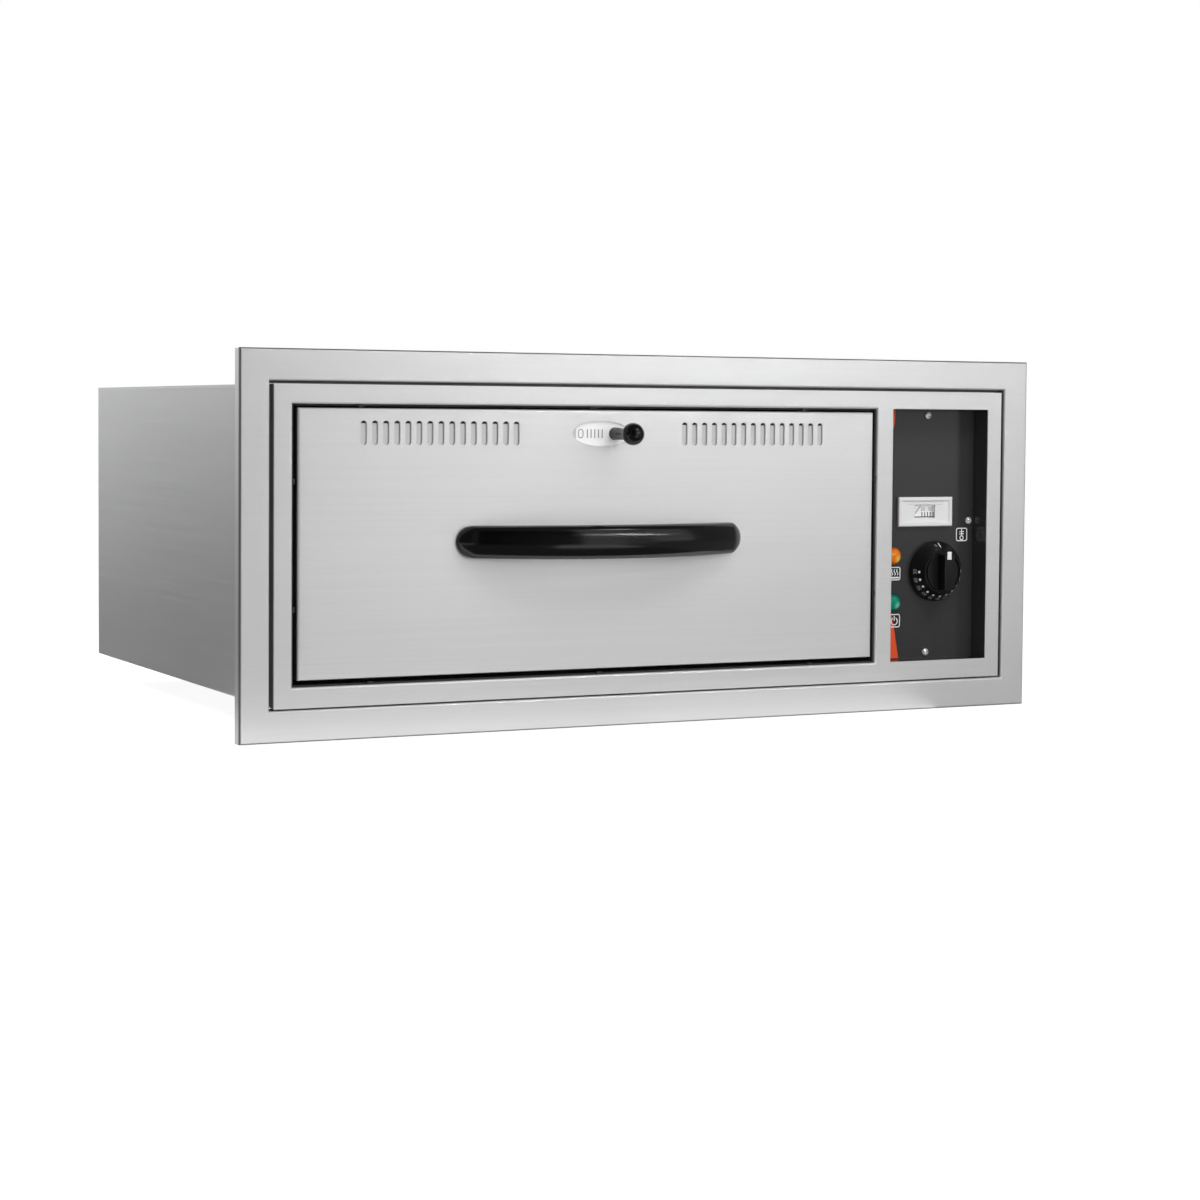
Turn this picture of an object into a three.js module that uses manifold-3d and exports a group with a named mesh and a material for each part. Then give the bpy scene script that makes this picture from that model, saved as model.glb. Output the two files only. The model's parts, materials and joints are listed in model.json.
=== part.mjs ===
// Built-in warming drawer, in millimetres: X to the right, Y to the back, Z up.
//
// The sheet-metal housing stands in a kitchen cut-out and a wide trim laps over its front. The
// face frame behind the trim has one opening for the drawer and one for the sunk control panel.
// The drawer runs on telescopic slides inside an insulated, heated cavity. Its front holds a
// damper: a slotted plate that a ball knob slides behind two rows of vent slots.
//
// All pieces are drawn with Y = 0 on the trim's front face and Z = 0 at its lower edge. The
// whole group is then moved so that the origin lies in the middle of the bottom strip of the
// trim's back flange, where the drawer bears on the furniture.

import * as THREE from 'three';
import { mergeVertices } from 'three/addons/utils/BufferGeometryUtils.js';
import Module from 'manifold-3d';

const wasm = await Module();
wasm.setup();

// ---------------------------------------------------------------- driving dimensions

// Sheet metal and fits
const SHEET = 1.2;                 // trim, face frame, housing and drawer skins
const THIN_SHEET = 1.0;            // liner, control tray and small strips
const BEND = 1.3;                  // radius of a bend, on the sheet's middle line
const SEAT = 0.3;                  // gap between pieces that touch
const PAST = 1;                    // how far a cutter reaches past the faces it cuts

// Trim that laps over the cut-out
const TRIM_WIDTH = 800;
const TRIM_HEIGHT = 334;
const TRIM_DEPTH = 14.4;
const TRIM_SIDE_STRIP = 26.3;
const TRIM_LEVEL_STRIP = 27.4;
const TRIM_FLANGE = 20;            // back flange that bears on the furniture
const TRIM_TAB_Y = 12;             // depth of the tab that closes the gap to the housing

// Face frame, inside the trim
const FRAME_SIDE_GAP = 3.7;
const FRAME_TOP_GAP = 2.6;
const FRAME_BOTTOM_GAP = 1.4;
const LEFT_STILE = 16.5;
const RIGHT_STILE = 15.4;
const MULLION = 17.4;
const TOP_RAIL = 16.6;
const BOTTOM_RAIL = 17.9;
const CONTROL_WIDTH = 108.6;
const OPENING_LIP = 14;            // return of the drawer opening

// Housing and cavity
const HOUSING_REAR = 550;          // from the trim's front face
const HOUSING_FLANGE = 7;
const COVER_FLANGE = 14;
const REAR_RECESS = 12;
const REAR_INSULATION = 15.5;

// Control tray
const PANEL_DEPTH = 25;
const TRAY_FLANGE = 6;
const TRAY_CLEARANCE = 0.4;
const TRAY_BEND = 0.8;

// Drawer front
const DOOR_GAP_LEFT = 4.9;
const DOOR_GAP_RIGHT = 4.6;
const DOOR_GAP_TOP = 3.4;
const DOOR_GAP_BOTTOM = 5.5;
const DOOR_DEPTH = 30;
const DOOR_FLANGE = 10;
const DOOR_BEND = 1.9;
const DOOR_FACE_LAP = 5;           // from its edge to where the flat, punched face starts

// Vent slots and damper
const SLOT_COUNT = 15;
const SLOT_PITCH = 10.24;
const SLOT_WIDTH = 4.2;
const SLOT_HEIGHT = 20.9;
const SLOT_BELOW_EDGE = 21.05;     // from the drawer front's upper edge to a slot's centre
const SLOT_END_STEPS = 2;          // straight pieces of a quarter of a slot's rounded end
const ROW_OFFSET = 155.6;          // from the drawer front's middle to a row's middle
const WINDOW_WIDTH = 58;
const WINDOW_HEIGHT = 22;
const DAMPER_PITCHES = 2.5;        // travel from shut to open, in slot pitches
const DAMPER_MARGIN = 6;
const DAMPER_LAP = 2;              // of the guide over the plate
const DAMPER_RIM = 1;              // of the plate above and below its slots
const DAMPER_CLEARANCE = 2;        // between plate and drawer skin
const GUIDE_FOOT = 4.2;
const GUIDE_BEND = 0.6;
const STUD_X = 13.9;               // right of the window's middle, with the damper shut
const STUD_RADIUS = 2.5;
const STUD_LENGTH = 20;
const BALL_RADIUS = 10;
const BALL_REACH = 34;             // from the trim's front face to the ball's centre
const NECK_RADIUS = 6;

// Handle
const HANDLE_LENGTH = 283;
const HANDLE_PROJECTION = 50;
const HANDLE_HEIGHT = 30;
const HANDLE_END_HEIGHT = 28;
const HANDLE_END_DEPTH = 9;
const HANDLE_THICKNESS = 12;
const HANDLE_FOOT = 24;
const HANDLE_EDGE = 4.5;           // radius of the bow's long edges
const HANDLE_Z = 168.2;            // above the trim's lower edge
const HANDLE_SCREW_INSET = 13;
const SCREW_RADIUS = 2.5;
const SCREW_HEAD_RADIUS = 4.75;
const SCREW_HEAD = 3;
const HANDLE_SCREW_REACH = 12;     // into the handle
const HANDLE_SCREW_TIP = 0.6;

// Telescopic slides, measured from the cavity wall and about the slide's middle height
const SLIDE_HEIGHT = 45;
const SLIDE_LENGTH = 470;
const SLIDE_START = 36;
const SLIDE_Z = 140;
const SLIDE_RUNNING = 0.4;         // between members, up and down
const SLIDE_WEB_GAP = 1.9;         // between the outer and the middle member's webs
const SLIDE_DEPTH = 12;            // of the outer member
const SLIDE_LIP = 1.5;
const SLIDE_BEND = 0.9;
const SLIDE_NECK = 31;             // height of the inner member's web
const DRAWER_STROKE = 400;

// Carriage and food pan
const LEDGE = 24;
const LEDGE_TOP = 232;
const CARRIAGE_BOTTOM = 84;
const CARRIAGE_FOOT = 12;
const CARRIAGE_LENGTH = 453;
const RAIL_WIDTH = 24;
const RAIL_DROP = 27;
const REAR_FLANGE = 11;
const PAN_SIDE_GAP = 13.45;        // to the carriage's outside; leaves a full-size pan's 530
const PAN_WIDTH = 325;
const PAN_DEPTH = 150;
const PAN_RIM = 14;
const PAN_TAPER = 11;
const PAN_CORNER = 38;
const PAN_RIM_CORNER = 18;
const PAN_FOOT = 10;               // radius between the walls and the floor
const PAN_SHEET = 1.0;
const PAN_FRONT = 48;

// Heating element on the cavity floor
const ELEMENT_RADIUS = 4;
const ELEMENT_RUNS = 4;
const ELEMENT_PITCH = 120;
const ELEMENT_FRONT = 90;
const ELEMENT_ABOVE_FLOOR = 12;
const ELEMENT_END_MARGIN = 48;
const ELEMENT_TAIL = 28;
const ELEMENT_TURN_FLAT = 4;       // straight between the two bends of a turn
const BRACKET_SHEET = 1.5;
const BRACKET_INSET = 130;
const BRACKET_MARGIN = 14;         // beyond the outer runs of the element
const BRACKET_RISE = 1;            // above the element's middle

// Thermometer
const BEZEL_WIDTH = 61.5;
const BEZEL_HEIGHT = 28.4;
const BEZEL_DEPTH = 4;
const BEZEL_RIM = 4.6;
const BEZEL_STEP = 1.6;            // of the mask behind the rim's front
const BEZEL_WALL = 1.2;
const BEZEL_CHAMFER = 0.8;
const METER_SHIFT = -2.1;          // from the middle of the control opening
const METER_Z = 188.7;
const METER_WINDOW_WIDTH = 23;
const METER_WINDOW_HEIGHT = 12.6;
const METER_CASE_WIDTH = 53;
const METER_CASE_HEIGHT = 21;
const METER_CASE_DEPTH = 34;
const METER_LENS = 1.2;
const DIAL_DEPTH = 5;              // of the dial card behind the panel's face
const POINTER_LENGTH = 11.5;
const POINTER_PIVOT_UP = 7.2;
const POINTER_REST = 38;           // degrees from upright, at the cold end of the scale
const POINTER_ROOT = 1.5;          // width at the hub
const POINTER_TIP = 0.6;
const POINTER_THICKNESS = 0.6;
const POINTER_LIFT = 0.8;          // of the needle in front of the dial
const POINTER_HUB_RADIUS = 1.9;
const POINTER_HUB_HEIGHT = 2;
const PIVOT_RADIUS = 0.8;
const PIVOT_REACH = 2.6;           // of the pin in front of the dial

// Thermostat and its knob
const KNOB_SHIFT = 10.2;           // from the middle of the control opening
const KNOB_Z = 131;
const KNOB_BASE_RADIUS = 29;
const KNOB_FACE_RADIUS = 21;
const KNOB_BASE_GAP = 3;           // between panel and knob
const KNOB_RIM = 2;
const KNOB_CONE = 11.5;
const KNOB_WALL = 2.5;
const GRIP_WIDTH = 11.8;
const GRIP_HEIGHT = 12;
const KNOB_CROWN = 1.1;            // height of the rounding round the knob's face
const KNOB_EDGE = 0.4;             // rounding of the rim
const SHAFT_RADIUS = 3;
const SHAFT_CLEARANCE = 0.35;
const SHAFT_HOLE_GAP = 2;          // round the shaft where it passes the panel
const SHAFT_FLAT = 1;              // cut off the shaft to key the knob
const SHAFT_BEHIND = 20;           // from the panel into the thermostat
const SHAFT_TOP_GAP = 3;           // from the knob's face to the shaft's end
const BUSHING_RADIUS = 8;
const BUSHING_LENGTH = 4;
const THERMOSTAT_SIZE = 42;
const THERMOSTAT_DEPTH = 36;

// Pilot lamps
const LAMP_INSET = 16.5;           // from the left edge of the control opening
const AMBER_Z = 146.3;
const GREEN_Z = 101.5;
const LAMP_RADIUS = 8.65;
const LAMP_DOME = 6.5;
const LAMP_RIM = 1.5;
const LAMP_BODY_RADIUS = 6.5;
const LAMP_BODY_DEPTH = 28;
const LAMP_NUT_LAP = 2.5;          // of the nut beyond the body's radius
const LAMP_NUT_HEIGHT = 4.7;
const LAMP_TAB_WIDTH = 6;
const LAMP_TAB_LENGTH = 7;
const LAMP_TAB_PITCH = 6;
const TAB_SHEET = 0.8;             // of all terminal tabs

// Panel screws
const PANEL_SCREW_RADIUS = 3.6;
const PANEL_SCREW_HEAD = 2.4;
const PANEL_SCREW_SHANK = 1.8;
const PANEL_SCREW_BEHIND = 7;      // shank behind the panel, without its tip
const PANEL_SCREW_TIP = 1.5;
const PANEL_SCREW_INSET = 6;       // from the tray's upper and lower walls
const PANEL_SCREW_SIDE_INSET = 5;
const PANEL_SCREW_SHIFT = 1.3;     // of the upper and lower screw from the tray's middle
const PANEL_SCREW_SIDE_Z = 179.4;

// Capillaries, limiter and supply
const CAPILLARY_RADIUS = 1.2;
const BULB_RADIUS = 3.5;
const BULB_LENGTH = 90;
const BULB_FROM_WALL = 40;
const THERMOSTAT_RISE_Y = 140;
const METER_RISE_Y = 100;
const THERMOSTAT_BULB_DROP = 27;   // below the cavity's top
const METER_BULB_DROP = 49;
const CAPILLARY_BEND = 14;
const LIMITER_RADIUS = 8;
const LIMITER_DEPTH = 10;
const LIMITER_TAB_LENGTH = 5.5;
const LIMITER_TAB_WIDTH = 5;
const LIMITER_TAB_PITCH = 7;
const LIMITER_Y = 300;
const LIMITER_Z = 200;
const GLAND_RADIUS = 10;
const GLAND_BORE = 4.5;
const GLAND_NECK = 9;              // from the wall inwards
const GLAND_NUT = 5;
const GLAND_NUT_LAP = 3;
const GLAND_COLLAR = 3;
const GLAND_COLLAR_LAP = 3.5;
const GLAND_SHIFT = 25.7;          // from the middle of the control opening
const GLAND_Z = 70;
const TERMINAL_WIDTH = 52;
const TERMINAL_DEPTH = 24;
const TERMINAL_HEIGHT = 20;
const TERMINAL_FROM_REAR = 36;
const TERMINAL_WAYS = 3;
const TERMINAL_WELL_RADIUS = 3.4;
const TERMINAL_WELL_DEPTH = 4;
const TERMINAL_ENTRY_RADIUS = 2.6;
const TERMINAL_ENTRY_Z = 7;        // above the block's foot

// Seal of the drawer opening
const SEAL_THICKNESS = 1.2;
const SEAL_FRONT = 3;
const SEAL_BACK = 9;
const CLIP_LENGTH = 5;
const CLIP_RISE = 1.1;
const CLIP_FRONT = 1.6;
const CLIP_PITCH = 220;
const CLIP_SIDE_PITCH = 109;
const CLIP_TOP_SHIFT = -8.5;

// ---------------------------------------------------------------- derived layout

const rect = (x0, x1, z0, z1) => ({ x0, x1, z0, z1 });
const grow = (r, by) => rect(r.x0 - by, r.x1 + by, r.z0 - by, r.z1 + by);
const middleX = (r) => (r.x0 + r.x1) / 2;
const middleZ = (r) => (r.z0 + r.z1) / 2;

const trim = rect(-TRIM_WIDTH / 2, TRIM_WIDTH / 2, 0, TRIM_HEIGHT);
const frame = rect(
  trim.x0 + TRIM_SIDE_STRIP + FRAME_SIDE_GAP,
  trim.x1 - TRIM_SIDE_STRIP - FRAME_SIDE_GAP,
  trim.z0 + TRIM_LEVEL_STRIP + FRAME_BOTTOM_GAP,
  trim.z1 - TRIM_LEVEL_STRIP - FRAME_TOP_GAP,
);
const control = rect(
  frame.x1 - RIGHT_STILE - CONTROL_WIDTH,
  frame.x1 - RIGHT_STILE,
  frame.z0 + BOTTOM_RAIL,
  frame.z1 - TOP_RAIL,
);
const opening = rect(frame.x0 + LEFT_STILE, control.x0 - MULLION, control.z0, control.z1);
const door = rect(
  opening.x0 + DOOR_GAP_LEFT,
  opening.x1 - DOOR_GAP_RIGHT,
  opening.z0 + DOOR_GAP_BOTTOM,
  opening.z1 - DOOR_GAP_TOP,
);
const cavity = grow(opening, SHEET + SEAT);
const tray = grow(control, TRAY_CLEARANCE);

const skinBack = SHEET;
const behindFrame = SHEET + SEAT;
const coverUnderside = frame.z1 - SHEET;
const rearPanelBack = HOUSING_REAR - REAR_RECESS;
const rearPanelFront = rearPanelBack - SHEET;
const insulationRear = rearPanelFront - SEAT;
const cavityRear = insulationRear - REAR_INSULATION - SEAT - THIN_SHEET;
const insulationRight = tray.x0 - THIN_SHEET - SEAT;

const slotZ = door.z1 - SLOT_BELOW_EDGE;
const damperTravel = DAMPER_PITCHES * SLOT_PITCH;
const rowHalf = ((SLOT_COUNT - 1) * SLOT_PITCH) / 2;
const damperFront = skinBack + DAMPER_CLEARANCE;
const damperBack = damperFront + THIN_SHEET;
const studX = middleX(door) + STUD_X;

const handleX = middleX(door);
const linerFront = DOOR_DEPTH + SEAT;
const carriageFront = linerFront + SHEET + SEAT;
const carriageRear = carriageFront + CARRIAGE_LENGTH;

// The slide's three members, as distances from the cavity wall
const slideWeb = SEAT + SHEET / 2;
const middleWeb = SEAT + SHEET + SLIDE_WEB_GAP + SHEET / 2;
const slideLipAt = SEAT + SLIDE_DEPTH - SHEET / 2;
const middleLipAt = slideLipAt - SHEET - SEAT;
const innerFlangeAt = middleWeb + SHEET + SEAT;
const innerWeb = SEAT + SLIDE_DEPTH + SEAT + SHEET / 2;
const carriageAt = innerWeb + SHEET / 2 + SEAT;
const slideHalf = SLIDE_HEIGHT / 2 - SHEET / 2;
const middleHalf = slideHalf - SHEET - SLIDE_RUNNING;
const innerHalf = middleHalf - SHEET / 2 - SEAT;

const carriage = rect(cavity.x0 + carriageAt, cavity.x1 - carriageAt, CARRIAGE_BOTTOM, LEDGE_TOP);
const panLength = carriage.x1 - carriage.x0 - 2 * PAN_SIDE_GAP;
const panRimUnderside = LEDGE_TOP + SEAT;
const panMiddleY = PAN_FRONT + PAN_WIDTH / 2;

const elementZ = cavity.z0 + ELEMENT_ABOVE_FLOOR;
const bulbY = cavityRear - SEAT - BULB_RADIUS;
const thermostatBulbZ = cavity.z1 - THERMOSTAT_BULB_DROP;
const meterBulbZ = cavity.z1 - METER_BULB_DROP;
const meterX = middleX(control) + METER_SHIFT;
const knobX = middleX(control) + KNOB_SHIFT;
const lampX = control.x0 + LAMP_INSET;
const glandX = middleX(control) + GLAND_SHIFT;
const meterFront = PANEL_DEPTH - SEAT - BEZEL_DEPTH;
const dialFront = PANEL_DEPTH + DIAL_DEPTH;
const knobBack = PANEL_DEPTH - KNOB_BASE_GAP;
const knobFace = knobBack - KNOB_RIM - KNOB_CONE;
const panelBack = PANEL_DEPTH + THIN_SHEET;

// ---------------------------------------------------------------- geometry helpers

const v2 = (x, y) => new THREE.Vector2(x, y);
const v3 = (x, y, z) => new THREE.Vector3(x, y, z);

/** The closed geometry as a solid that can be cut and joined. */
function solidOf(geometry) {
  const bare = geometry.clone();
  bare.deleteAttribute('normal');
  bare.deleteAttribute('uv');
  const merged = mergeVertices(bare, 1e-4);
  return new wasm.Manifold(new wasm.Mesh({
    numProp: 3,
    vertProperties: Float32Array.from(merged.attributes.position.array),
    triVerts: Uint32Array.from(merged.index.array),
  }));
}

/** The solid as a geometry again. */
function geometryOf(solid) {
  const mesh = solid.getMesh();
  const geometry = new THREE.BufferGeometry();
  const positions = Float32Array.from(mesh.vertProperties);
  geometry.setAttribute('position', new THREE.BufferAttribute(positions, 3));
  geometry.setIndex(new THREE.BufferAttribute(Uint32Array.from(mesh.triVerts), 1));
  geometry.computeVertexNormals();
  return geometry;
}

function join(...geometries) {
  return geometryOf(geometries.map(solidOf).reduce((sum, next) => sum.add(next)));
}

function cut(geometry, ...tools) {
  return geometryOf(tools.map(solidOf).reduce((rest, tool) => rest.subtract(tool), solidOf(geometry)));
}

/** Volume enclosed by an indexed geometry, negative if its faces point in. */
function signedVolume(positions, index) {
  const [a, b, c] = [v3(), v3(), v3()];
  let sum = 0;
  for (let i = 0; i < index.length; i += 3) {
    a.fromArray(positions, index[i] * 3);
    b.fromArray(positions, index[i + 1] * 3);
    c.fromArray(positions, index[i + 2] * 3);
    sum += a.dot(b.cross(c));
  }
  return sum / 6;
}

/** A solid through rings of points. Open lofts get flat ends, closed ones return to the start. */
function loft(rings, closed = false) {
  const sides = rings[0].length;
  const positions = rings.flat().flatMap((p) => p.toArray());
  const index = [];
  const spans = closed ? rings.length : rings.length - 1;
  for (let r = 0; r < spans; r += 1) {
    for (let k = 0; k < sides; k += 1) {
      const next = (k + 1) % sides;
      const a = r * sides;
      const b = ((r + 1) % rings.length) * sides;
      index.push(a + k, a + next, b + next, a + k, b + next, b + k);
    }
  }
  if (!closed) {
    const end = (rings.length - 1) * sides;
    for (let k = 1; k < sides - 1; k += 1) {
      index.push(0, k + 1, k);
      index.push(end, end + k, end + k + 1);
    }
  }
  if (signedVolume(positions, index) < 0) {
    index.reverse();
  }
  const geometry = new THREE.BufferGeometry();
  geometry.setAttribute('position', new THREE.Float32BufferAttribute(positions, 3));
  geometry.setIndex(index);
  geometry.computeVertexNormals();
  return geometry;
}

/** A path whose corners are rounded with arcs of one radius. */
function roundedPath(corners, radius, steps = 3) {
  const points = [corners[0]];
  for (let i = 1; i < corners.length - 1; i += 1) {
    const corner = corners[i];
    const back = corners[i - 1].clone().sub(corner).normalize();
    const on = corners[i + 1].clone().sub(corner).normalize();
    const half = Math.acos(THREE.MathUtils.clamp(back.dot(on), -1, 1)) / 2;
    const start = corner.clone().addScaledVector(back, radius / Math.tan(half));
    const toCentre = back.clone().add(on).normalize();
    const centre = corner.clone().addScaledVector(toCentre, radius / Math.sin(half));
    const turn = Math.sign(on.cross(back)) * (Math.PI - 2 * half);
    for (let k = 0; k <= steps; k += 1) {
      points.push(start.clone().rotateAround(centre, (turn * k) / steps));
    }
  }
  points.push(corners[corners.length - 1]);
  return points;
}

/** Closed outline of sheet metal of one thickness that follows a path. */
function sheetOutline(path, thickness) {
  const sides = [[], []];
  path.forEach((point, i) => {
    const before = point.clone().sub(path[Math.max(i - 1, 0)]).normalize();
    const after = path[Math.min(i + 1, path.length - 1)].clone().sub(point).normalize();
    const along = before.clone().add(after).normalize();
    const straight = Math.max(along.dot(before), along.dot(after));
    const reach = thickness / 2 / straight;
    sides[0].push(v2(point.x - along.y * reach, point.y + along.x * reach));
    sides[1].push(v2(point.x + along.y * reach, point.y - along.x * reach));
  });
  return [...sides[0], ...sides[1].reverse()];
}

/** Section of a folded sheet: corners on its middle line, rounded bends. */
function fold(corners, { thickness = SHEET, radius = BEND, steps = 3 } = {}) {
  const points = corners.map(([a, b]) => v2(a, b));
  return sheetOutline(roundedPath(points, radius, steps), thickness);
}

/**
 * A frame folded round a rectangle with mitred corners. Each section point is (inset from the
 * rectangle, depth); the level strips may have their own sections of as many points.
 */
function foldedFrame(r, side, bottom = side, top = side) {
  const rings = side.map((point, i) => {
    const [x0, x1] = [r.x0 + point.x, r.x1 - point.x];
    const [z0, z1] = [r.z0 + bottom[i].x, r.z1 - top[i].x];
    const y = point.y;
    return [v3(x0, y, z0), v3(x1, y, z0), v3(x1, y, z1), v3(x0, y, z1)];
  });
  return loft(rings, true);
}

const BASES = {
  x: new THREE.Matrix4().makeBasis(v3(0, 1, 0), v3(0, 0, 1), v3(1, 0, 0)),
  y: new THREE.Matrix4().makeBasis(v3(1, 0, 0), v3(0, 0, 1), v3(0, -1, 0)),
  z: new THREE.Matrix4(),
};

/** Extrudes a shape along an axis: (Y,Z) shapes along x, (X,Z) along y and (X,Y) along z. */
function extrude(axis, shape, from, to, curveSegments = 12) {
  const options = { depth: to - from, bevelEnabled: false, curveSegments };
  const geometry = new THREE.ExtrudeGeometry(shape, options);
  geometry.applyMatrix4(BASES[axis]);
  const start = axis === 'y' ? to : from;
  geometry.translate(axis === 'x' ? start : 0, axis === 'y' ? start : 0, axis === 'z' ? start : 0);
  return geometry;
}

const extrudeOutline = (axis, outline, from, to) => extrude(axis, new THREE.Shape(outline), from, to);

function rectShape(r, Type = THREE.Shape) {
  const path = new Type();
  path.moveTo(r.x0, r.z0);
  path.lineTo(r.x1, r.z0);
  path.lineTo(r.x1, r.z1);
  path.lineTo(r.x0, r.z1);
  path.closePath();
  return path;
}

const plate = (r, y0, y1) => extrude('y', rectShape(r), y0, y1);

/** Round bar along Y, or a hole's cutter. */
function rod(x, z, radius, y0, y1, sides = 24) {
  const geometry = new THREE.CylinderGeometry(radius, radius, y1 - y0, sides);
  geometry.translate(x, (y0 + y1) / 2, z);
  return geometry;
}

/** Round bar along X, or a hole's cutter. */
function crossRod(y, z, radius, x0, x1, sides = 24) {
  const geometry = new THREE.CylinderGeometry(radius, radius, x1 - x0, sides);
  geometry.rotateZ(Math.PI / 2);
  geometry.translate((x0 + x1) / 2, y, z);
  return geometry;
}

/** A turned solid about a line along Y; profile points are (radius, y). */
function turned(x, z, profile, sides = 32) {
  const geometry = new THREE.LatheGeometry(profile.map(([r, y]) => v2(r, y)), sides);
  const bare = geometry.clone();
  bare.deleteAttribute('normal');
  bare.deleteAttribute('uv');
  const merged = mergeVertices(bare, 1e-4);
  const kept = [];
  const index = merged.index.array;
  for (let i = 0; i < index.length; i += 3) {
    const [a, b, c] = [index[i], index[i + 1], index[i + 2]];
    if (a !== b && b !== c && a !== c) {
      kept.push(a, b, c);
    }
  }
  if (signedVolume(merged.attributes.position.array, kept) < 0) {
    kept.reverse();
  }
  merged.setIndex(kept);
  merged.translate(x, 0, z);
  merged.computeVertexNormals();
  return merged;
}

/** Points of a quarter or other arc as [radius, y] pairs, angles in degrees. */
function arcPoints(centreR, centreY, radius, from, to, steps) {
  return Array.from({ length: steps + 1 }, (_, k) => {
    const angle = THREE.MathUtils.degToRad(from + ((to - from) * k) / steps);
    return [centreR + radius * Math.cos(angle), centreY + radius * Math.sin(angle)];
  });
}

/** A path in space whose corners are rounded with arcs of one radius. */
function bentPath(corners, radius, steps) {
  const points = [corners[0]];
  for (let i = 1; i < corners.length - 1; i += 1) {
    const corner = corners[i];
    const back = corners[i - 1].clone().sub(corner).normalize();
    const on = corners[i + 1].clone().sub(corner).normalize();
    const half = back.angleTo(on) / 2;
    const toCentre = back.clone().add(on).normalize();
    const centre = corner.clone().addScaledVector(toCentre, radius / Math.sin(half));
    const arm = corner.clone().addScaledVector(back, radius / Math.tan(half)).sub(centre);
    const axis = on.clone().cross(back).normalize();
    for (let k = 0; k <= steps; k += 1) {
      const turn = ((Math.PI - 2 * half) * k) / steps;
      points.push(centre.clone().add(arm.clone().applyAxisAngle(axis, turn)));
    }
  }
  points.push(corners[corners.length - 1]);
  return points;
}

/** Round bar bent along a path in space, with square ends. */
function bentBar(corners, bend, radius, { steps = 5, sides = 8 } = {}) {
  const path = bentPath(corners, bend, steps);
  const side = v3(0, 0, 1);
  const first = path[1].clone().sub(path[0]).normalize();
  if (Math.abs(side.dot(first)) > 0.9) {
    side.set(1, 0, 0);
  }
  const rings = path.map((point, i) => {
    const before = point.clone().sub(path[Math.max(i - 1, 0)]).normalize();
    const after = path[Math.min(i + 1, path.length - 1)].clone().sub(point).normalize();
    const along = before.add(after).normalize();
    side.addScaledVector(along, -side.dot(along)).normalize();
    const across = along.clone().cross(side);
    return Array.from({ length: sides }, (_, k) => {
      const angle = (2 * Math.PI * k) / sides;
      return point.clone()
        .addScaledVector(side, radius * Math.cos(angle))
        .addScaledVector(across, radius * Math.sin(angle));
    });
  });
  return loft(rings);
}

/** Upright obround hole. */
function slotPath(x, z) {
  const half = SLOT_WIDTH / 2;
  const rise = SLOT_HEIGHT / 2 - half;
  const path = new THREE.Path();
  path.absarc(x, z + rise, half, 0, Math.PI, false);
  path.absarc(x, z - rise, half, Math.PI, 2 * Math.PI, false);
  path.closePath();
  return path;
}

/** Cuts holes of given outlines through a plate that lies between y0 and y1. */
function punch(geometry, outlines, y0, y1, curveSegments = 2) {
  const tools = outlines.map((path) => (
    extrude('y', new THREE.Shape(path.getPoints(curveSegments)), y0 - 1, y1 + 1)));
  return cut(geometry, ...tools);
}

/** Both rows of vent slots, moved sideways by shift. */
function slotRows(shift = 0) {
  const paths = [];
  for (const side of [-1, 1]) {
    for (let i = 0; i < SLOT_COUNT; i += 1) {
      const x = middleX(door) + side * ROW_OFFSET - rowHalf + i * SLOT_PITCH + shift;
      paths.push(slotPath(x, slotZ));
    }
  }
  return paths;
}

function ellipsePath(x, z, width, height) {
  const path = new THREE.Path();
  const parts = 6;
  for (let k = 0; k < parts; k += 1) {
    const from = (2 * Math.PI * k) / parts;
    const to = (2 * Math.PI * (k + 1)) / parts;
    path.absellipse(x, z, width / 2, height / 2, from, to, false, 0);
  }
  return path;
}

/** Mirror image of a geometry in the plane of one X. */
function mirrored(geometry, x) {
  const copy = mergeVertices(geometry);
  copy.translate(-x, 0, 0);
  copy.scale(-1, 1, 1);
  copy.translate(x, 0, 0);
  copy.setIndex(Array.from(copy.index.array).reverse());
  copy.computeVertexNormals();
  return copy;
}

// ---------------------------------------------------------------- materials

function finish(color, roughness, metalness, extra = {}) {
  return new THREE.MeshStandardMaterial({ color, roughness, metalness, ...extra });
}

const brushed = finish(0xd6d6d4, 0.32, 0.9);
const brushedWall = finish(0xa9aaab, 0.4, 0.85);
const bright = finish(0xe4e4e2, 0.25, 0.95);
const blackGloss = finish(0x0d0d0e, 0.18, 0.0);
const blackPanel = finish(0x2f2f30, 0.35, 0.1);
const whitePlastic = finish(0xededeb, 0.45, 0.0);
const rubber = finish(0x1b1b1b, 0.8, 0.0);
const wool = finish(0xc9b98f, 0.95, 0.0);
const elementSteel = finish(0x6f6a63, 0.5, 0.8);
const copper = finish(0xb5703f, 0.35, 0.95);
const amber = finish(0xf08a1c, 0.15, 0.0, { transparent: true, opacity: 0.85 });
const green = finish(0x12a06c, 0.15, 0.0, { transparent: true, opacity: 0.85 });
const clear = finish(0xf4f6f6, 0.05, 0.0, { transparent: true, opacity: 0.25 });
const ceramic = finish(0xe6ded0, 0.6, 0.0);
const redPaint = finish(0xc4251c, 0.5, 0.0);

const model = new THREE.Group();

function add(name, geometry, material) {
  const mesh = new THREE.Mesh(geometry, material);
  mesh.name = name;
  model.add(mesh);
}

// ---------------------------------------------------------------- trim and face frame

/** Folded strip: back flange, outer return, face, inner return and a tab towards the housing. */
function trimSection(strip, gap) {
  const half = SHEET / 2;
  return fold([
    [TRIM_FLANGE, TRIM_DEPTH - half],
    [half, TRIM_DEPTH - half],
    [half, half],
    [strip - half, half],
    [strip - half, TRIM_TAB_Y],
    [strip + gap - SEAT, TRIM_TAB_Y],
  ]);
}

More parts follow.
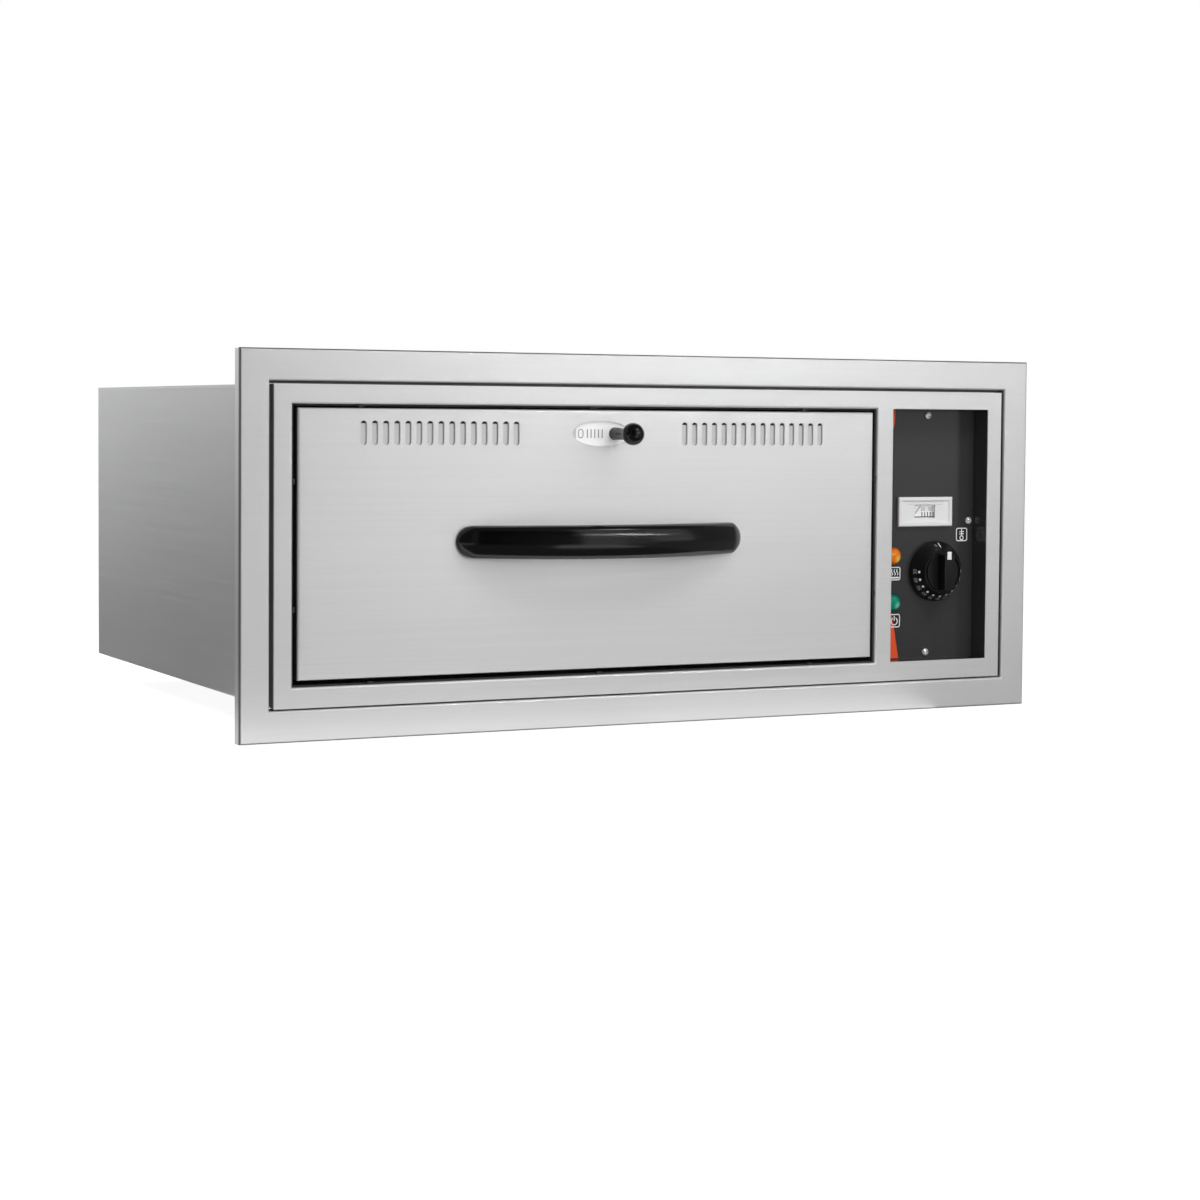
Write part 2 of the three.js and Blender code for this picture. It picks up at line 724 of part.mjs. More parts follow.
function trimFrame() {
  return foldedFrame(
    trim,
    trimSection(TRIM_SIDE_STRIP, FRAME_SIDE_GAP),
    trimSection(TRIM_LEVEL_STRIP, FRAME_BOTTOM_GAP),
    trimSection(TRIM_LEVEL_STRIP, FRAME_TOP_GAP),
  );
}

/** Plate with both openings; the drawer opening has a return with a rounded bend. */
function faceFrame() {
  const half = SHEET / 2;
  const bendLap = 3;
  const shape = rectShape(frame);
  shape.holes.push(rectShape(grow(opening, bendLap), THREE.Path));
  shape.holes.push(rectShape(control, THREE.Path));
  const face = extrude('y', shape, 0, SHEET);
  const lip = foldedFrame(opening, fold([
    [-bendLap - half, half],
    [-half, half],
    [-half, OPENING_LIP],
  ]));
  return join(face, lip);
}

// ---------------------------------------------------------------- housing

/** Bottom and two walls in one sheet, with flanges for the cover and towards the face frame. */
function housingShell() {
  const half = SHEET / 2;
  const top = coverUnderside - SEAT - half;
  const section = fold([
    [frame.x0 + COVER_FLANGE, top],
    [frame.x0 + half, top],
    [frame.x0 + half, frame.z0 + half],
    [frame.x1 - half, frame.z0 + half],
    [frame.x1 - half, top],
    [frame.x1 - COVER_FLANGE, top],
  ]);
  const wrap = extrudeOutline('y', section, behindFrame, HOUSING_REAR);
  const front = [behindFrame, behindFrame + SHEET];
  const upTo = top - BEND;
  const low = frame.z0 + half;
  const flanges = [
    plate(rect(frame.x0 + half, frame.x0 + HOUSING_FLANGE, low, upTo), ...front),
    plate(rect(frame.x1 - HOUSING_FLANGE, frame.x1 - half, low, upTo), ...front),
    plate(rect(frame.x0 + half, frame.x1 - half, low, frame.z0 + HOUSING_FLANGE), ...front),
  ];
  return join(wrap, ...flanges);
}

function topCover() {
  return plate(rect(frame.x0, frame.x1, coverUnderside, frame.z1), behindFrame, HOUSING_REAR);
}

/** Recessed back wall with flanges to the rear, and the hole for the cable gland. */
function rearPanel() {
  const half = SHEET / 2;
  const lap = 4;
  const inside = rect(
    frame.x0 + SHEET + SEAT,
    frame.x1 - SHEET - SEAT,
    frame.z0 + SHEET + SEAT,
    coverUnderside - SEAT - SHEET - SEAT,
  );
  const rim = foldedFrame(inside, fold([
    [half, HOUSING_REAR - SEAT],
    [half, rearPanelFront + half],
    [lap, rearPanelFront + half],
  ]));
  const wall = plate(grow(inside, -lap + half), rearPanelFront, rearPanelBack);
  const hole = rod(glandX, GLAND_Z, GLAND_RADIUS + SEAT, rearPanelFront - PAST, rearPanelBack + PAST);
  return cut(join(rim, wall), hole);
}

/** Open-fronted box in thin sheet, with the holes of element, bulbs and limiter. */
function cavityLiner() {
  const outside = plate(grow(cavity, THIN_SHEET), behindFrame, cavityRear + THIN_SHEET);
  const inside = plate(cavity, behindFrame - PAST, cavityRear);
  const wall = [cavity.x1 - PAST, cavity.x1 + THIN_SHEET + PAST];
  return cut(outside, inside, ...wallPassages(...wall));
}

/** Cutters through the cavity's right wall for the two element ends and the two capillaries. */
function wallPassages(x0, x1) {
  const elementEnds = [0, ELEMENT_RUNS - 1].map((run) => ELEMENT_FRONT + run * ELEMENT_PITCH);
  return [
    ...elementEnds.map((y) => crossRod(y, elementZ, ELEMENT_RADIUS + SEAT, x0, x1, 16)),
    ...[thermostatBulbZ, meterBulbZ].map(
      (z) => crossRod(bulbY, z, CAPILLARY_RADIUS + SEAT, x0, x1, 12),
    ),
  ];
}

/** Mineral wool on the five closed sides of the liner. */
function insulationWrap() {
  const outer = rect(
    frame.x0 + SHEET + SEAT,
    insulationRight,
    frame.z0 + SHEET + SEAT,
    coverUnderside - SEAT - SHEET - SEAT,
  );
  const front = behindFrame + SHEET + SEAT;
  const block = plate(outer, front, insulationRear);
  const hollow = plate(grow(cavity, THIN_SHEET + SEAT), front - PAST, cavityRear + THIN_SHEET + SEAT);
  const limiterHole = crossRod(
    LIMITER_Y, LIMITER_Z, LIMITER_RADIUS + SEAT, cavity.x1, insulationRight + PAST,
  );
  return cut(block, hollow, limiterHole, ...wallPassages(cavity.x1, insulationRight + PAST));
}

// ---------------------------------------------------------------- controls

/** Black tray: flange behind the face frame, side walls and the panel, with its cut-outs. */
function controlPanel() {
  const half = THIN_SHEET / 2;
  const lap = 3;
  const walls = foldedFrame(tray, fold([
    [-TRAY_FLANGE, behindFrame + half],
    [-half, behindFrame + half],
    [-half, PANEL_DEPTH + half],
    [lap, PANEL_DEPTH + half],
  ], { thickness: THIN_SHEET, radius: TRAY_BEND }));
  const panel = plate(grow(tray, -lap + half), PANEL_DEPTH, panelBack);
  const through = [PANEL_DEPTH - PAST, panelBack + PAST];
  const meterHole = plate(around(meterX, METER_Z, METER_CASE_WIDTH, METER_CASE_HEIGHT, SEAT), ...through);
  const holes = [
    rod(knobX, KNOB_Z, SHAFT_RADIUS + SHAFT_HOLE_GAP, ...through),
    rod(lampX, AMBER_Z, LAMP_BODY_RADIUS + SEAT, ...through),
    rod(lampX, GREEN_Z, LAMP_BODY_RADIUS + SEAT, ...through),
    ...panelScrewPlaces().map(({ x, z }) => rod(x, z, PANEL_SCREW_SHANK + SEAT, ...through, 12)),
  ];
  return cut(join(walls, panel), meterHole, ...holes);
}

function around(x, z, width, height, by = 0) {
  return grow(rect(x - width / 2, x + width / 2, z - height / 2, z + height / 2), by);
}

function panelScrewPlaces() {
  const x = middleX(tray) + PANEL_SCREW_SHIFT;
  return [
    { name: 'panel_screw_top', x, z: tray.z1 - PANEL_SCREW_INSET },
    { name: 'panel_screw_bottom', x, z: tray.z0 + PANEL_SCREW_INSET },
    { name: 'panel_screw_left', x: tray.x0 + PANEL_SCREW_SIDE_INSET, z: PANEL_SCREW_SIDE_Z },
    { name: 'panel_screw_right', x: tray.x1 - PANEL_SCREW_SIDE_INSET, z: PANEL_SCREW_SIDE_Z },
  ];
}

/** Low domed head in front of the panel, shank through it. */
function panelScrew({ x, z }) {
  const seat = PANEL_DEPTH - SEAT;
  const crown = seat - PANEL_SCREW_HEAD;
  const edge = PANEL_SCREW_HEAD * 0.35;
  return turned(x, z, [
    [0, crown],
    [PANEL_SCREW_RADIUS * 0.45, crown + 0.2],
    [PANEL_SCREW_RADIUS * 0.8, crown + 0.75],
    [PANEL_SCREW_RADIUS, seat - edge],
    [PANEL_SCREW_RADIUS, seat],
    [PANEL_SCREW_SHANK, seat],
    [PANEL_SCREW_SHANK, panelBack + PANEL_SCREW_BEHIND],
    [0, panelBack + PANEL_SCREW_BEHIND + PANEL_SCREW_TIP],
  ], 14);
}

/** Bezel: a raised rim, then a mask a little deeper with the window in it. */
function thermometerBezel() {
  const back = PANEL_DEPTH - SEAT;
  const mask = meterFront + BEZEL_STEP;
  const outline = around(meterX, METER_Z, BEZEL_WIDTH, BEZEL_HEIGHT);
  const toWindow = (BEZEL_WIDTH - METER_WINDOW_WIDTH) / 2;
  const toWindowUp = (BEZEL_HEIGHT - METER_WINDOW_HEIGHT) / 2;
  const section = (window) => [
    v2(0.3, back),
    v2(0, meterFront + BEZEL_CHAMFER),
    v2(BEZEL_CHAMFER, meterFront),
    v2(BEZEL_RIM - 1.4, meterFront),
    v2(BEZEL_RIM, mask),
    v2(window - BEZEL_CHAMFER, mask + 0.2),
    v2(window, mask + BEZEL_CHAMFER),
    v2(window, mask + BEZEL_WALL),
    v2(BEZEL_RIM - BEZEL_WALL / 2, mask + BEZEL_WALL),
    v2(BEZEL_RIM - BEZEL_WALL / 2, back),
  ];
  return foldedFrame(outline, section(toWindow), section(toWindowUp), section(toWindowUp));
}

/** Open-fronted case that passes through the panel. */
function thermometerCase() {
  const outside = around(meterX, METER_Z, METER_CASE_WIDTH, METER_CASE_HEIGHT);
  const front = PANEL_DEPTH;
  const back = PANEL_DEPTH + METER_CASE_DEPTH;
  const body = plate(outside, front, back);
  const hollow = plate(grow(outside, -THIN_SHEET), front - PAST, dialFront + THIN_SHEET + SEAT);
  return cut(body, hollow);
}

function thermometerLens() {
  const inside = around(meterX, METER_Z, METER_CASE_WIDTH, METER_CASE_HEIGHT, -THIN_SHEET - SEAT);
  return plate(inside, PANEL_DEPTH + SEAT, PANEL_DEPTH + SEAT + METER_LENS);
}

/** Dial card with the pointer's pivot pin. */
function thermometerDial() {
  const inside = around(meterX, METER_Z, METER_CASE_WIDTH, METER_CASE_HEIGHT, -THIN_SHEET - SEAT);
  const card = plate(inside, dialFront, dialFront + THIN_SHEET);
  const pivotZ = METER_Z + POINTER_PIVOT_UP;
  const pin = [dialFront - PIVOT_REACH, dialFront + THIN_SHEET / 2];
  return join(card, rod(meterX, pivotZ, PIVOT_RADIUS, ...pin, 12));
}

/** Needle that tapers from its hub to the tip, drawn upright and then tilted to the cold end. */
function thermometerPointer() {
  const shape = new THREE.Shape();
  shape.moveTo(-POINTER_ROOT / 2, 0);
  shape.lineTo(-POINTER_TIP / 2, -POINTER_LENGTH);
  shape.lineTo(POINTER_TIP / 2, -POINTER_LENGTH);
  shape.lineTo(POINTER_ROOT / 2, 0);
  shape.closePath();
  const back = dialFront - POINTER_LIFT;
  const needle = extrude('y', shape, back - POINTER_THICKNESS, back);
  const hubFront = dialFront - POINTER_HUB_HEIGHT;
  const hub = rod(0, 0, POINTER_HUB_RADIUS, hubFront, dialFront - SEAT, 16);
  const bore = rod(0, 0, PIVOT_RADIUS + SEAT, hubFront - PAST, dialFront, 12);
  const geometry = cut(join(needle, hub), bore);
  geometry.rotateY(THREE.MathUtils.degToRad(POINTER_REST));
  geometry.translate(meterX, 0, METER_Z + POINTER_PIVOT_UP);
  return geometry;
}

function thermostatBody() {
  const size = THERMOSTAT_SIZE;
  const back = panelBack + SEAT + THERMOSTAT_DEPTH;
  const front = panelBack + SEAT + BUSHING_LENGTH;
  const block = plate(around(knobX, KNOB_Z, size, size), front, back);
  const bushing = rod(knobX, KNOB_Z, BUSHING_RADIUS, panelBack + SEAT, front + PAST);
  const boreRadius = SHAFT_RADIUS + SHAFT_CLEARANCE;
  const bore = rod(knobX, KNOB_Z, boreRadius, panelBack - PAST, panelBack + SHAFT_BEHIND + 2);
  return cut(join(block, bushing), bore);
}

/** Shaft with a flat that keys it to the knob. */
function thermostatShaft() {
  const bar = rod(knobX, KNOB_Z, SHAFT_RADIUS, knobFace + SHAFT_TOP_GAP, panelBack + SHAFT_BEHIND);
  const half = SHAFT_RADIUS + PAST;
  const flat = plate(
    rect(knobX - half, knobX + half, KNOB_Z + SHAFT_RADIUS - SHAFT_FLAT, KNOB_Z + half),
    knobFace, knobBack,
  );
  return cut(bar, flat);
}

/** Hollow cone with a rim, and a grip bar across its face. */
function thermostatKnob() {
  const rimFront = knobBack - KNOB_RIM;
  const inner = KNOB_FACE_RADIUS - KNOB_WALL;
  const cap = turned(0, 0, [
    [0, knobFace],
    [KNOB_FACE_RADIUS - 1.2, knobFace],
    [KNOB_FACE_RADIUS - 0.35, knobFace + 0.35],
    [KNOB_FACE_RADIUS, knobFace + KNOB_CROWN],
    [KNOB_BASE_RADIUS - 0.3, rimFront - KNOB_EDGE],
    [KNOB_BASE_RADIUS, rimFront + KNOB_EDGE],
    [KNOB_BASE_RADIUS, knobBack - KNOB_EDGE],
    [KNOB_BASE_RADIUS - KNOB_EDGE, knobBack],
    [KNOB_BASE_RADIUS - KNOB_WALL, knobBack],
    [inner, knobFace + KNOB_WALL],
    [0, knobFace + KNOB_WALL],
  ], 32);
  const reach = KNOB_FACE_RADIUS - 0.6;
  const spread = Math.asin(GRIP_WIDTH / 2 / reach);
  const grip = new THREE.Shape();
  grip.absarc(0, 0, reach, -Math.PI / 2 - spread, -Math.PI / 2 + spread, false);
  grip.absarc(0, 0, reach, Math.PI / 2 - spread, Math.PI / 2 + spread, false);
  const bar = extrude('y', grip, knobFace - GRIP_HEIGHT, knobFace + PAST, 3);
  const boss = rod(0, 0, SHAFT_RADIUS + KNOB_WALL, knobFace + PAST, knobBack);
  const bore = rod(0, 0, SHAFT_RADIUS + SEAT, knobFace + SHAFT_TOP_GAP - SEAT, knobBack + PAST);
  const knob = cut(join(cap, bar, boss), bore);
  knob.translate(knobX, 0, KNOB_Z);
  return knob;
}

function lampLens(z) {
  const seat = PANEL_DEPTH - SEAT;
  const steps = 5;
  const dome = Array.from({ length: steps + 1 }, (_, k) => {
    const angle = (Math.PI / 2) * (k / steps);
    return [LAMP_RADIUS * Math.sin(angle), seat - LAMP_RIM - (LAMP_DOME - LAMP_RIM) * Math.cos(angle)];
  });
  return turned(lampX, z, [...dome, [LAMP_RADIUS, seat], [0, seat]], 24);
}

function lampBody(z) {
  const neck = rod(lampX, z, LAMP_BODY_RADIUS, PANEL_DEPTH, panelBack + LAMP_BODY_DEPTH, 16);
  const nutFront = panelBack + SEAT;
  const nut = rod(lampX, z, LAMP_BODY_RADIUS + LAMP_NUT_LAP, nutFront, nutFront + LAMP_NUT_HEIGHT, 6);
  const end = panelBack + LAMP_BODY_DEPTH;
  const tabs = [-0.5, 0.5].map((side) => plate(
    around(lampX + side * LAMP_TAB_PITCH, z, TAB_SHEET, LAMP_TAB_WIDTH),
    end - PAST, end + LAMP_TAB_LENGTH,
  ));
  return join(neck, nut, ...tabs);
}

// ---------------------------------------------------------------- heating and supply

/** Serpentine rod heater; both ends leave through the cavity's right wall. */
function heatingElement() {
  const left = cavity.x0 + ELEMENT_END_MARGIN;
  const right = cavity.x1 - ELEMENT_END_MARGIN;
  const tail = cavity.x1 + ELEMENT_TAIL;
  const at = (x, run) => v3(x, ELEMENT_FRONT + run * ELEMENT_PITCH, elementZ);
  const corners = [at(tail, 0)];
  for (let run = 0; run < ELEMENT_RUNS - 1; run += 1) {
    const x = run % 2 === 0 ? left : right;
    corners.push(at(x, run), at(x, run + 1));
  }
  corners.push(at(tail, ELEMENT_RUNS - 1));
  return bentBar(corners, (ELEMENT_PITCH - ELEMENT_TURN_FLAT) / 2, ELEMENT_RADIUS, { steps: 6 });
}

/** Comb plate that stands on the cavity floor and holds every run of the element. */
function elementBracket(x) {
  const foot = cavity.z0 + SEAT;
  const top = elementZ + BRACKET_RISE;
  const notch = ELEMENT_RADIUS + SEAT;
  const shape = new THREE.Shape();
  const y0 = ELEMENT_FRONT - BRACKET_MARGIN;
  const y1 = ELEMENT_FRONT + (ELEMENT_RUNS - 1) * ELEMENT_PITCH + BRACKET_MARGIN;
  shape.moveTo(y0, foot);
  shape.lineTo(y1, foot);
  shape.lineTo(y1, top);
  for (let run = ELEMENT_RUNS - 1; run >= 0; run -= 1) {
    const y = ELEMENT_FRONT + run * ELEMENT_PITCH;
    shape.lineTo(y + notch, top);
    shape.lineTo(y + notch, elementZ);
    shape.absarc(y, elementZ, notch, 0, -Math.PI, true);
    shape.lineTo(y - notch, top);
  }
  shape.lineTo(y0, top);
  shape.closePath();
  return extrude('x', shape, x - BRACKET_SHEET / 2, x + BRACKET_SHEET / 2, 4);
}

/** Capillary from a device's back, up and along to its bulb on the cavity's rear wall. */
function capillary(start, riseY, bulbZ) {
  const bulbEnd = cavity.x1 - BULB_FROM_WALL;
  const corners = [
    start,
    v3(start.x, riseY, start.z),
    v3(start.x, riseY, bulbZ),
    v3(start.x, bulbY, bulbZ),
    v3(bulbEnd - 2, bulbY, bulbZ),
  ];
  const line = bentBar(corners, CAPILLARY_BEND, CAPILLARY_RADIUS, { steps: 4, sides: 6 });
  const bulb = crossRod(bulbY, bulbZ, BULB_RADIUS, bulbEnd - BULB_LENGTH, bulbEnd, 12);
  return join(line, bulb);
}

function limitThermostat() {
  const x0 = cavity.x1 + THIN_SHEET + SEAT;
  const disc = crossRod(LIMITER_Y, LIMITER_Z, LIMITER_RADIUS, x0, x0 + LIMITER_DEPTH);
  const tabs = [-0.5, 0.5].map((side) => {
    const tab = new THREE.BoxGeometry(LIMITER_TAB_LENGTH + PAST, LIMITER_TAB_WIDTH, TAB_SHEET);
    const middle = x0 + LIMITER_DEPTH + (LIMITER_TAB_LENGTH - PAST) / 2;
    tab.translate(middle, LIMITER_Y, LIMITER_Z + side * LIMITER_TAB_PITCH);
    return tab;
  });
  return join(disc, ...tabs);
}

function terminalBlock() {
  const foot = frame.z0 + SHEET + SEAT;
  const y1 = rearPanelFront - TERMINAL_FROM_REAR;
  const y0 = y1 - TERMINAL_DEPTH;
  const block = plate(
    rect(glandX - TERMINAL_WIDTH / 2, glandX + TERMINAL_WIDTH / 2, foot, foot + TERMINAL_HEIGHT),
    y0, y1,
  );
  const pitch = TERMINAL_WIDTH / TERMINAL_WAYS;
  const places = Array.from(
    { length: TERMINAL_WAYS },
    (_, i) => glandX + (i - (TERMINAL_WAYS - 1) / 2) * pitch,
  );
  const wells = places.map((x) => {
    const radius = TERMINAL_WELL_RADIUS;
    const well = new THREE.CylinderGeometry(radius, radius, TERMINAL_WELL_DEPTH * 2, 8);
    well.rotateX(Math.PI / 2);
    well.translate(x, (y0 + y1) / 2, foot + TERMINAL_HEIGHT);
    return well;
  });
  const entries = places.map((x) => (
    rod(x, foot + TERMINAL_ENTRY_Z, TERMINAL_ENTRY_RADIUS, y0 - PAST, y1 + PAST, 8)));
  return cut(block, ...wells, ...entries);
}

/** Cable gland in the back wall: collar and domed cap outside, nut inside, open bore. */
function cableGland() {
  const outer = rearPanelBack + SEAT;
  const inner = rearPanelFront - SEAT;
  const end = HOUSING_REAR - SEAT;
  return turned(glandX, GLAND_Z, [
    [GLAND_BORE, inner - GLAND_NECK],
    [GLAND_RADIUS, inner - GLAND_NECK],
    [GLAND_RADIUS, inner - GLAND_NUT],
    [GLAND_RADIUS + GLAND_NUT_LAP, inner - GLAND_NUT],
    [GLAND_RADIUS + GLAND_NUT_LAP, inner],
    [GLAND_RADIUS, inner],
    [GLAND_RADIUS, outer],
    [GLAND_RADIUS + GLAND_COLLAR_LAP, outer],
    [GLAND_RADIUS + GLAND_COLLAR_LAP, outer + GLAND_COLLAR],
    [GLAND_RADIUS + 0.5, outer + GLAND_COLLAR + 0.5],
    [GLAND_RADIUS - 0.5, end - GLAND_COLLAR],
    [GLAND_BORE + 2.2, end],
    [GLAND_BORE, end],
    [GLAND_BORE, inner - GLAND_NECK],
  ], 16);
}

// ---------------------------------------------------------------- seal and slides

/** Rubber edging just inside the drawer opening, with the heads of its clips. */
function openingSeal() {
  const ring = foldedFrame(opening, [
    v2(SEAT, SEAL_FRONT),
    v2(SEAT + SEAL_THICKNESS, SEAL_FRONT),
    v2(SEAT + SEAL_THICKNESS, SEAL_BACK),
    v2(SEAT, SEAL_BACK),
  ]);
  const rise = SEAT + SEAL_THICKNESS + CLIP_RISE;
  const half = CLIP_LENGTH / 2;
  const depth = [CLIP_FRONT, SEAL_FRONT + 1];
  const clips = [];
  for (const i of [-1, 0, 1]) {
    const top = middleX(opening) + CLIP_TOP_SHIFT + i * CLIP_PITCH;
    const bottom = middleX(opening) + i * CLIP_PITCH;
    clips.push(plate(rect(top - half, top + half, opening.z1 - rise, opening.z1 - SEAT), ...depth));
    clips.push(plate(rect(bottom - half, bottom + half, opening.z0 + SEAT, opening.z0 + rise), ...depth));
  }
  for (const i of [-0.5, 0.5]) {
    const z = middleZ(opening) + i * CLIP_SIDE_PITCH;
    clips.push(plate(rect(opening.x0 + SEAT, opening.x0 + rise, z - half, z + half), ...depth));
    clips.push(plate(rect(opening.x1 - rise, opening.x1 - SEAT, z - half, z + half), ...depth));
  }
  return join(ring, ...clips);
}

/** One slide member: its section is given from the cavity wall and about the slide's middle. */
function slideMember(corners) {
  const placed = corners.map(([out, up]) => [cavity.x0 + out, SLIDE_Z + up]);
  const section = fold(placed, { radius: SLIDE_BEND, steps: 2 });
  return extrudeOutline('y', section, SLIDE_START, SLIDE_START + SLIDE_LENGTH);
}

const slideMembers = {
  outer: () => slideMember([
    [slideLipAt, -slideHalf + SLIDE_LIP],
    [slideLipAt, -slideHalf],
    [slideWeb, -slideHalf],
    [slideWeb, slideHalf],
    [slideLipAt, slideHalf],
    [slideLipAt, slideHalf - SLIDE_LIP],
  ]),
  middle: () => slideMember([
    [middleLipAt, -middleHalf + SLIDE_LIP * 2],
    [middleLipAt, -middleHalf],
    [middleWeb, -middleHalf],
    [middleWeb, middleHalf],
    [middleLipAt, middleHalf],
    [middleLipAt, middleHalf - SLIDE_LIP * 2],
  ]),
  inner: () => slideMember([
    [innerFlangeAt, -innerHalf],
    [innerFlangeAt, -SLIDE_NECK / 2],
    [innerWeb, -SLIDE_NECK / 2],
    [innerWeb, SLIDE_NECK / 2],
    [innerFlangeAt, SLIDE_NECK / 2],
    [innerFlangeAt, innerHalf],
  ]),
};

// ---------------------------------------------------------------- drawer front

function handleScrewPlaces() {
  const reach = HANDLE_LENGTH / 2 - HANDLE_SCREW_INSET;
  return [
    { name: 'handle_screw_left', x: handleX - reach },
    { name: 'handle_screw_right', x: handleX + reach },
  ];
}

/** Outer skin: a face with bent edges and a flange behind, cut by slots, window and screw holes. */
function drawerFront() {
  const half = SHEET / 2;
  const edge = foldedFrame(door, fold([
    [DOOR_FACE_LAP, half],
    [half, half],
    [half, DOOR_DEPTH - half],
    [DOOR_FLANGE, DOOR_DEPTH - half],
  ], { radius: DOOR_BEND, steps: 4 }));
  const blank = plate(grow(door, -DOOR_FACE_LAP + PAST), 0, SHEET);
  const window = ellipsePath(middleX(door), slotZ, WINDOW_WIDTH, WINDOW_HEIGHT);
  const face = punch(blank, [...slotRows(), window], 0, SHEET, SLOT_END_STEPS);
  const holes = handleScrewPlaces().map(({ x }) => (
    rod(x, HANDLE_Z, SCREW_RADIUS + SEAT, -PAST, SHEET + PAST, 16)));
  return cut(join(edge, face), ...holes);
}

/** Inner skin behind the insulation, open behind both rows of slots. */
function drawerFrontLiner() {
  const [y0, y1] = [linerFront, linerFront + SHEET];
  const windows = [-1, 1].map((side) => {
    const x = middleX(door) + side * ROW_OFFSET;
    return plate(around(x, slotZ, 2 * rowHalf + SLOT_WIDTH, SLOT_HEIGHT), y0 - PAST, y1 + PAST);
  });
  return cut(plate(door, y0, y1), ...windows);
}

function frontInsulation() {
  const guideFoot = slotZ - damperHalf() - SEAT - THIN_SHEET - GUIDE_FOOT;
  const area = rect(
    door.x0 + SHEET + SEAT,
    door.x1 - SHEET - SEAT,
    door.z0 + SHEET + SEAT,
    guideFoot - SEAT,
  );
  const front = SHEET + DOOR_BEND;
  const block = plate(area, front, DOOR_DEPTH - front);
  const pockets = handleScrewPlaces().map(({ x }) => (
    rod(x, HANDLE_Z, SCREW_HEAD_RADIUS + 2, front - 1, skinBack + SEAT + SCREW_HEAD + 2, 16)));
  return cut(block, ...pockets);
}

/** Half the damper plate's height. */
function damperHalf() {
  return SLOT_HEIGHT / 2 + DAMPER_RIM + DAMPER_LAP;
}

/** Slotted plate; shut, its slots lie between the slots of the drawer front. */
function damperPlate() {
  const left = middleX(door) - ROW_OFFSET - rowHalf - SLOT_WIDTH / 2 - DAMPER_MARGIN;
  const right = middleX(door) + ROW_OFFSET + rowHalf + SLOT_WIDTH / 2 + DAMPER_MARGIN + damperTravel;
  const blank = plate(
    rect(left, right, slotZ - damperHalf(), slotZ + damperHalf()),
    damperFront, damperBack,
  );
  return punch(blank, slotRows(damperTravel), damperFront, damperBack, SLOT_END_STEPS);
}

/** Z strip behind the skin that carries one long edge of the damper plate. */
function damperGuide(side) {
  const half = THIN_SHEET / 2;
  const step = damperHalf() + SEAT + half;
  const foot = skinBack + SEAT + half;
  const lip = damperBack + SEAT + half;
  const reach = damperHalf() - DAMPER_LAP;
  const section = fold([
    [foot, slotZ + side * (step + half + GUIDE_FOOT - THIN_SHEET)],
    [foot, slotZ + side * step],
    [lip, slotZ + side * step],
    [lip, slotZ + side * reach],
  ], { thickness: THIN_SHEET, radius: GUIDE_BEND, steps: 2 });
  const run = ROW_OFFSET + rowHalf + SLOT_WIDTH / 2 + DAMPER_MARGIN + damperTravel;
  return extrudeOutline('x', section, middleX(door) - run, middleX(door) + run);
}

/** Ball knob with its neck, bored for the stud. */
function damperKnob() {
  const back = damperFront - SEAT;
  const join0 = -BALL_REACH + Math.sqrt(BALL_RADIUS ** 2 - NECK_RADIUS ** 2);
  const from = THREE.MathUtils.radToDeg(Math.atan2(join0 + BALL_REACH, NECK_RADIUS));
  return turned(studX, slotZ, [
    [0, -BALL_REACH - BALL_RADIUS],
    ...arcPoints(0, -BALL_REACH, BALL_RADIUS, -90, from, 10).slice(1),
    [NECK_RADIUS * 0.92, (join0 + back) / 2],
    [NECK_RADIUS, back],
    [STUD_RADIUS + SEAT, back],
    [STUD_RADIUS + SEAT, back - STUD_LENGTH],
    [0, back - STUD_LENGTH - SEAT],
  ], 20);
}

function damperStud() {
  return rod(studX, slotZ, STUD_RADIUS, damperFront - STUD_LENGTH, damperFront - SEAT, 16);
}

/** Arched bow. Each section is a rounded rectangle; its ends close as half rounds on the door. */
function handleBow() {
  const halfLength = HANDLE_LENGTH / 2;
  const sagitta = HANDLE_PROJECTION - HANDLE_END_DEPTH;
  const outerRadius = (halfLength ** 2 + sagitta ** 2) / (2 * sagitta);
  const innerHalf = halfLength - HANDLE_FOOT;
  const innerSagitta = HANDLE_PROJECTION - HANDLE_THICKNESS;
  const innerRadius = (innerHalf ** 2 + innerSagitta ** 2) / (2 * innerSagitta);
  const arch = (x, radius, peak) => Math.sqrt(Math.max(radius ** 2 - x ** 2, 0)) - radius + peak;
  const stations = 32;
  const rings = [];
  for (let i = 0; i <= stations; i += 1) {
    const angle = (Math.PI * i) / stations;
    const x = -Math.cos(angle) * (halfLength - 0.05);
    const fromEnd = halfLength - Math.abs(x);
    const endRadius = HANDLE_END_HEIGHT / 2;
    const swell = 1 - (Math.abs(x) / halfLength) ** 2;
    const full = HANDLE_END_HEIGHT + (HANDLE_HEIGHT - HANDLE_END_HEIGHT) * swell;
    const inEnd = Math.min(fromEnd / endRadius, 1);
    const round = Math.sqrt(inEnd * (2 - inEnd));
    const height = Math.max(full * round, 1.2);
    const outer = arch(x, outerRadius, HANDLE_PROJECTION) * Math.min(1, 0.25 + 0.75 * round);
    const inner = Math.abs(x) < innerHalf ? arch(x, innerRadius, innerSagitta) : 0;
    rings.push(bowSection(x, -outer, -inner - SEAT, height / 2));
  }
  const bow = loft(rings);
  bow.translate(handleX, 0, HANDLE_Z);
  const holes = handleScrewPlaces().map(({ x }) => (
    rod(x, HANDLE_Z, SCREW_RADIUS + SEAT, -HANDLE_SCREW_REACH - SEAT, PAST, 16)));
  return cut(bow, ...holes);
}

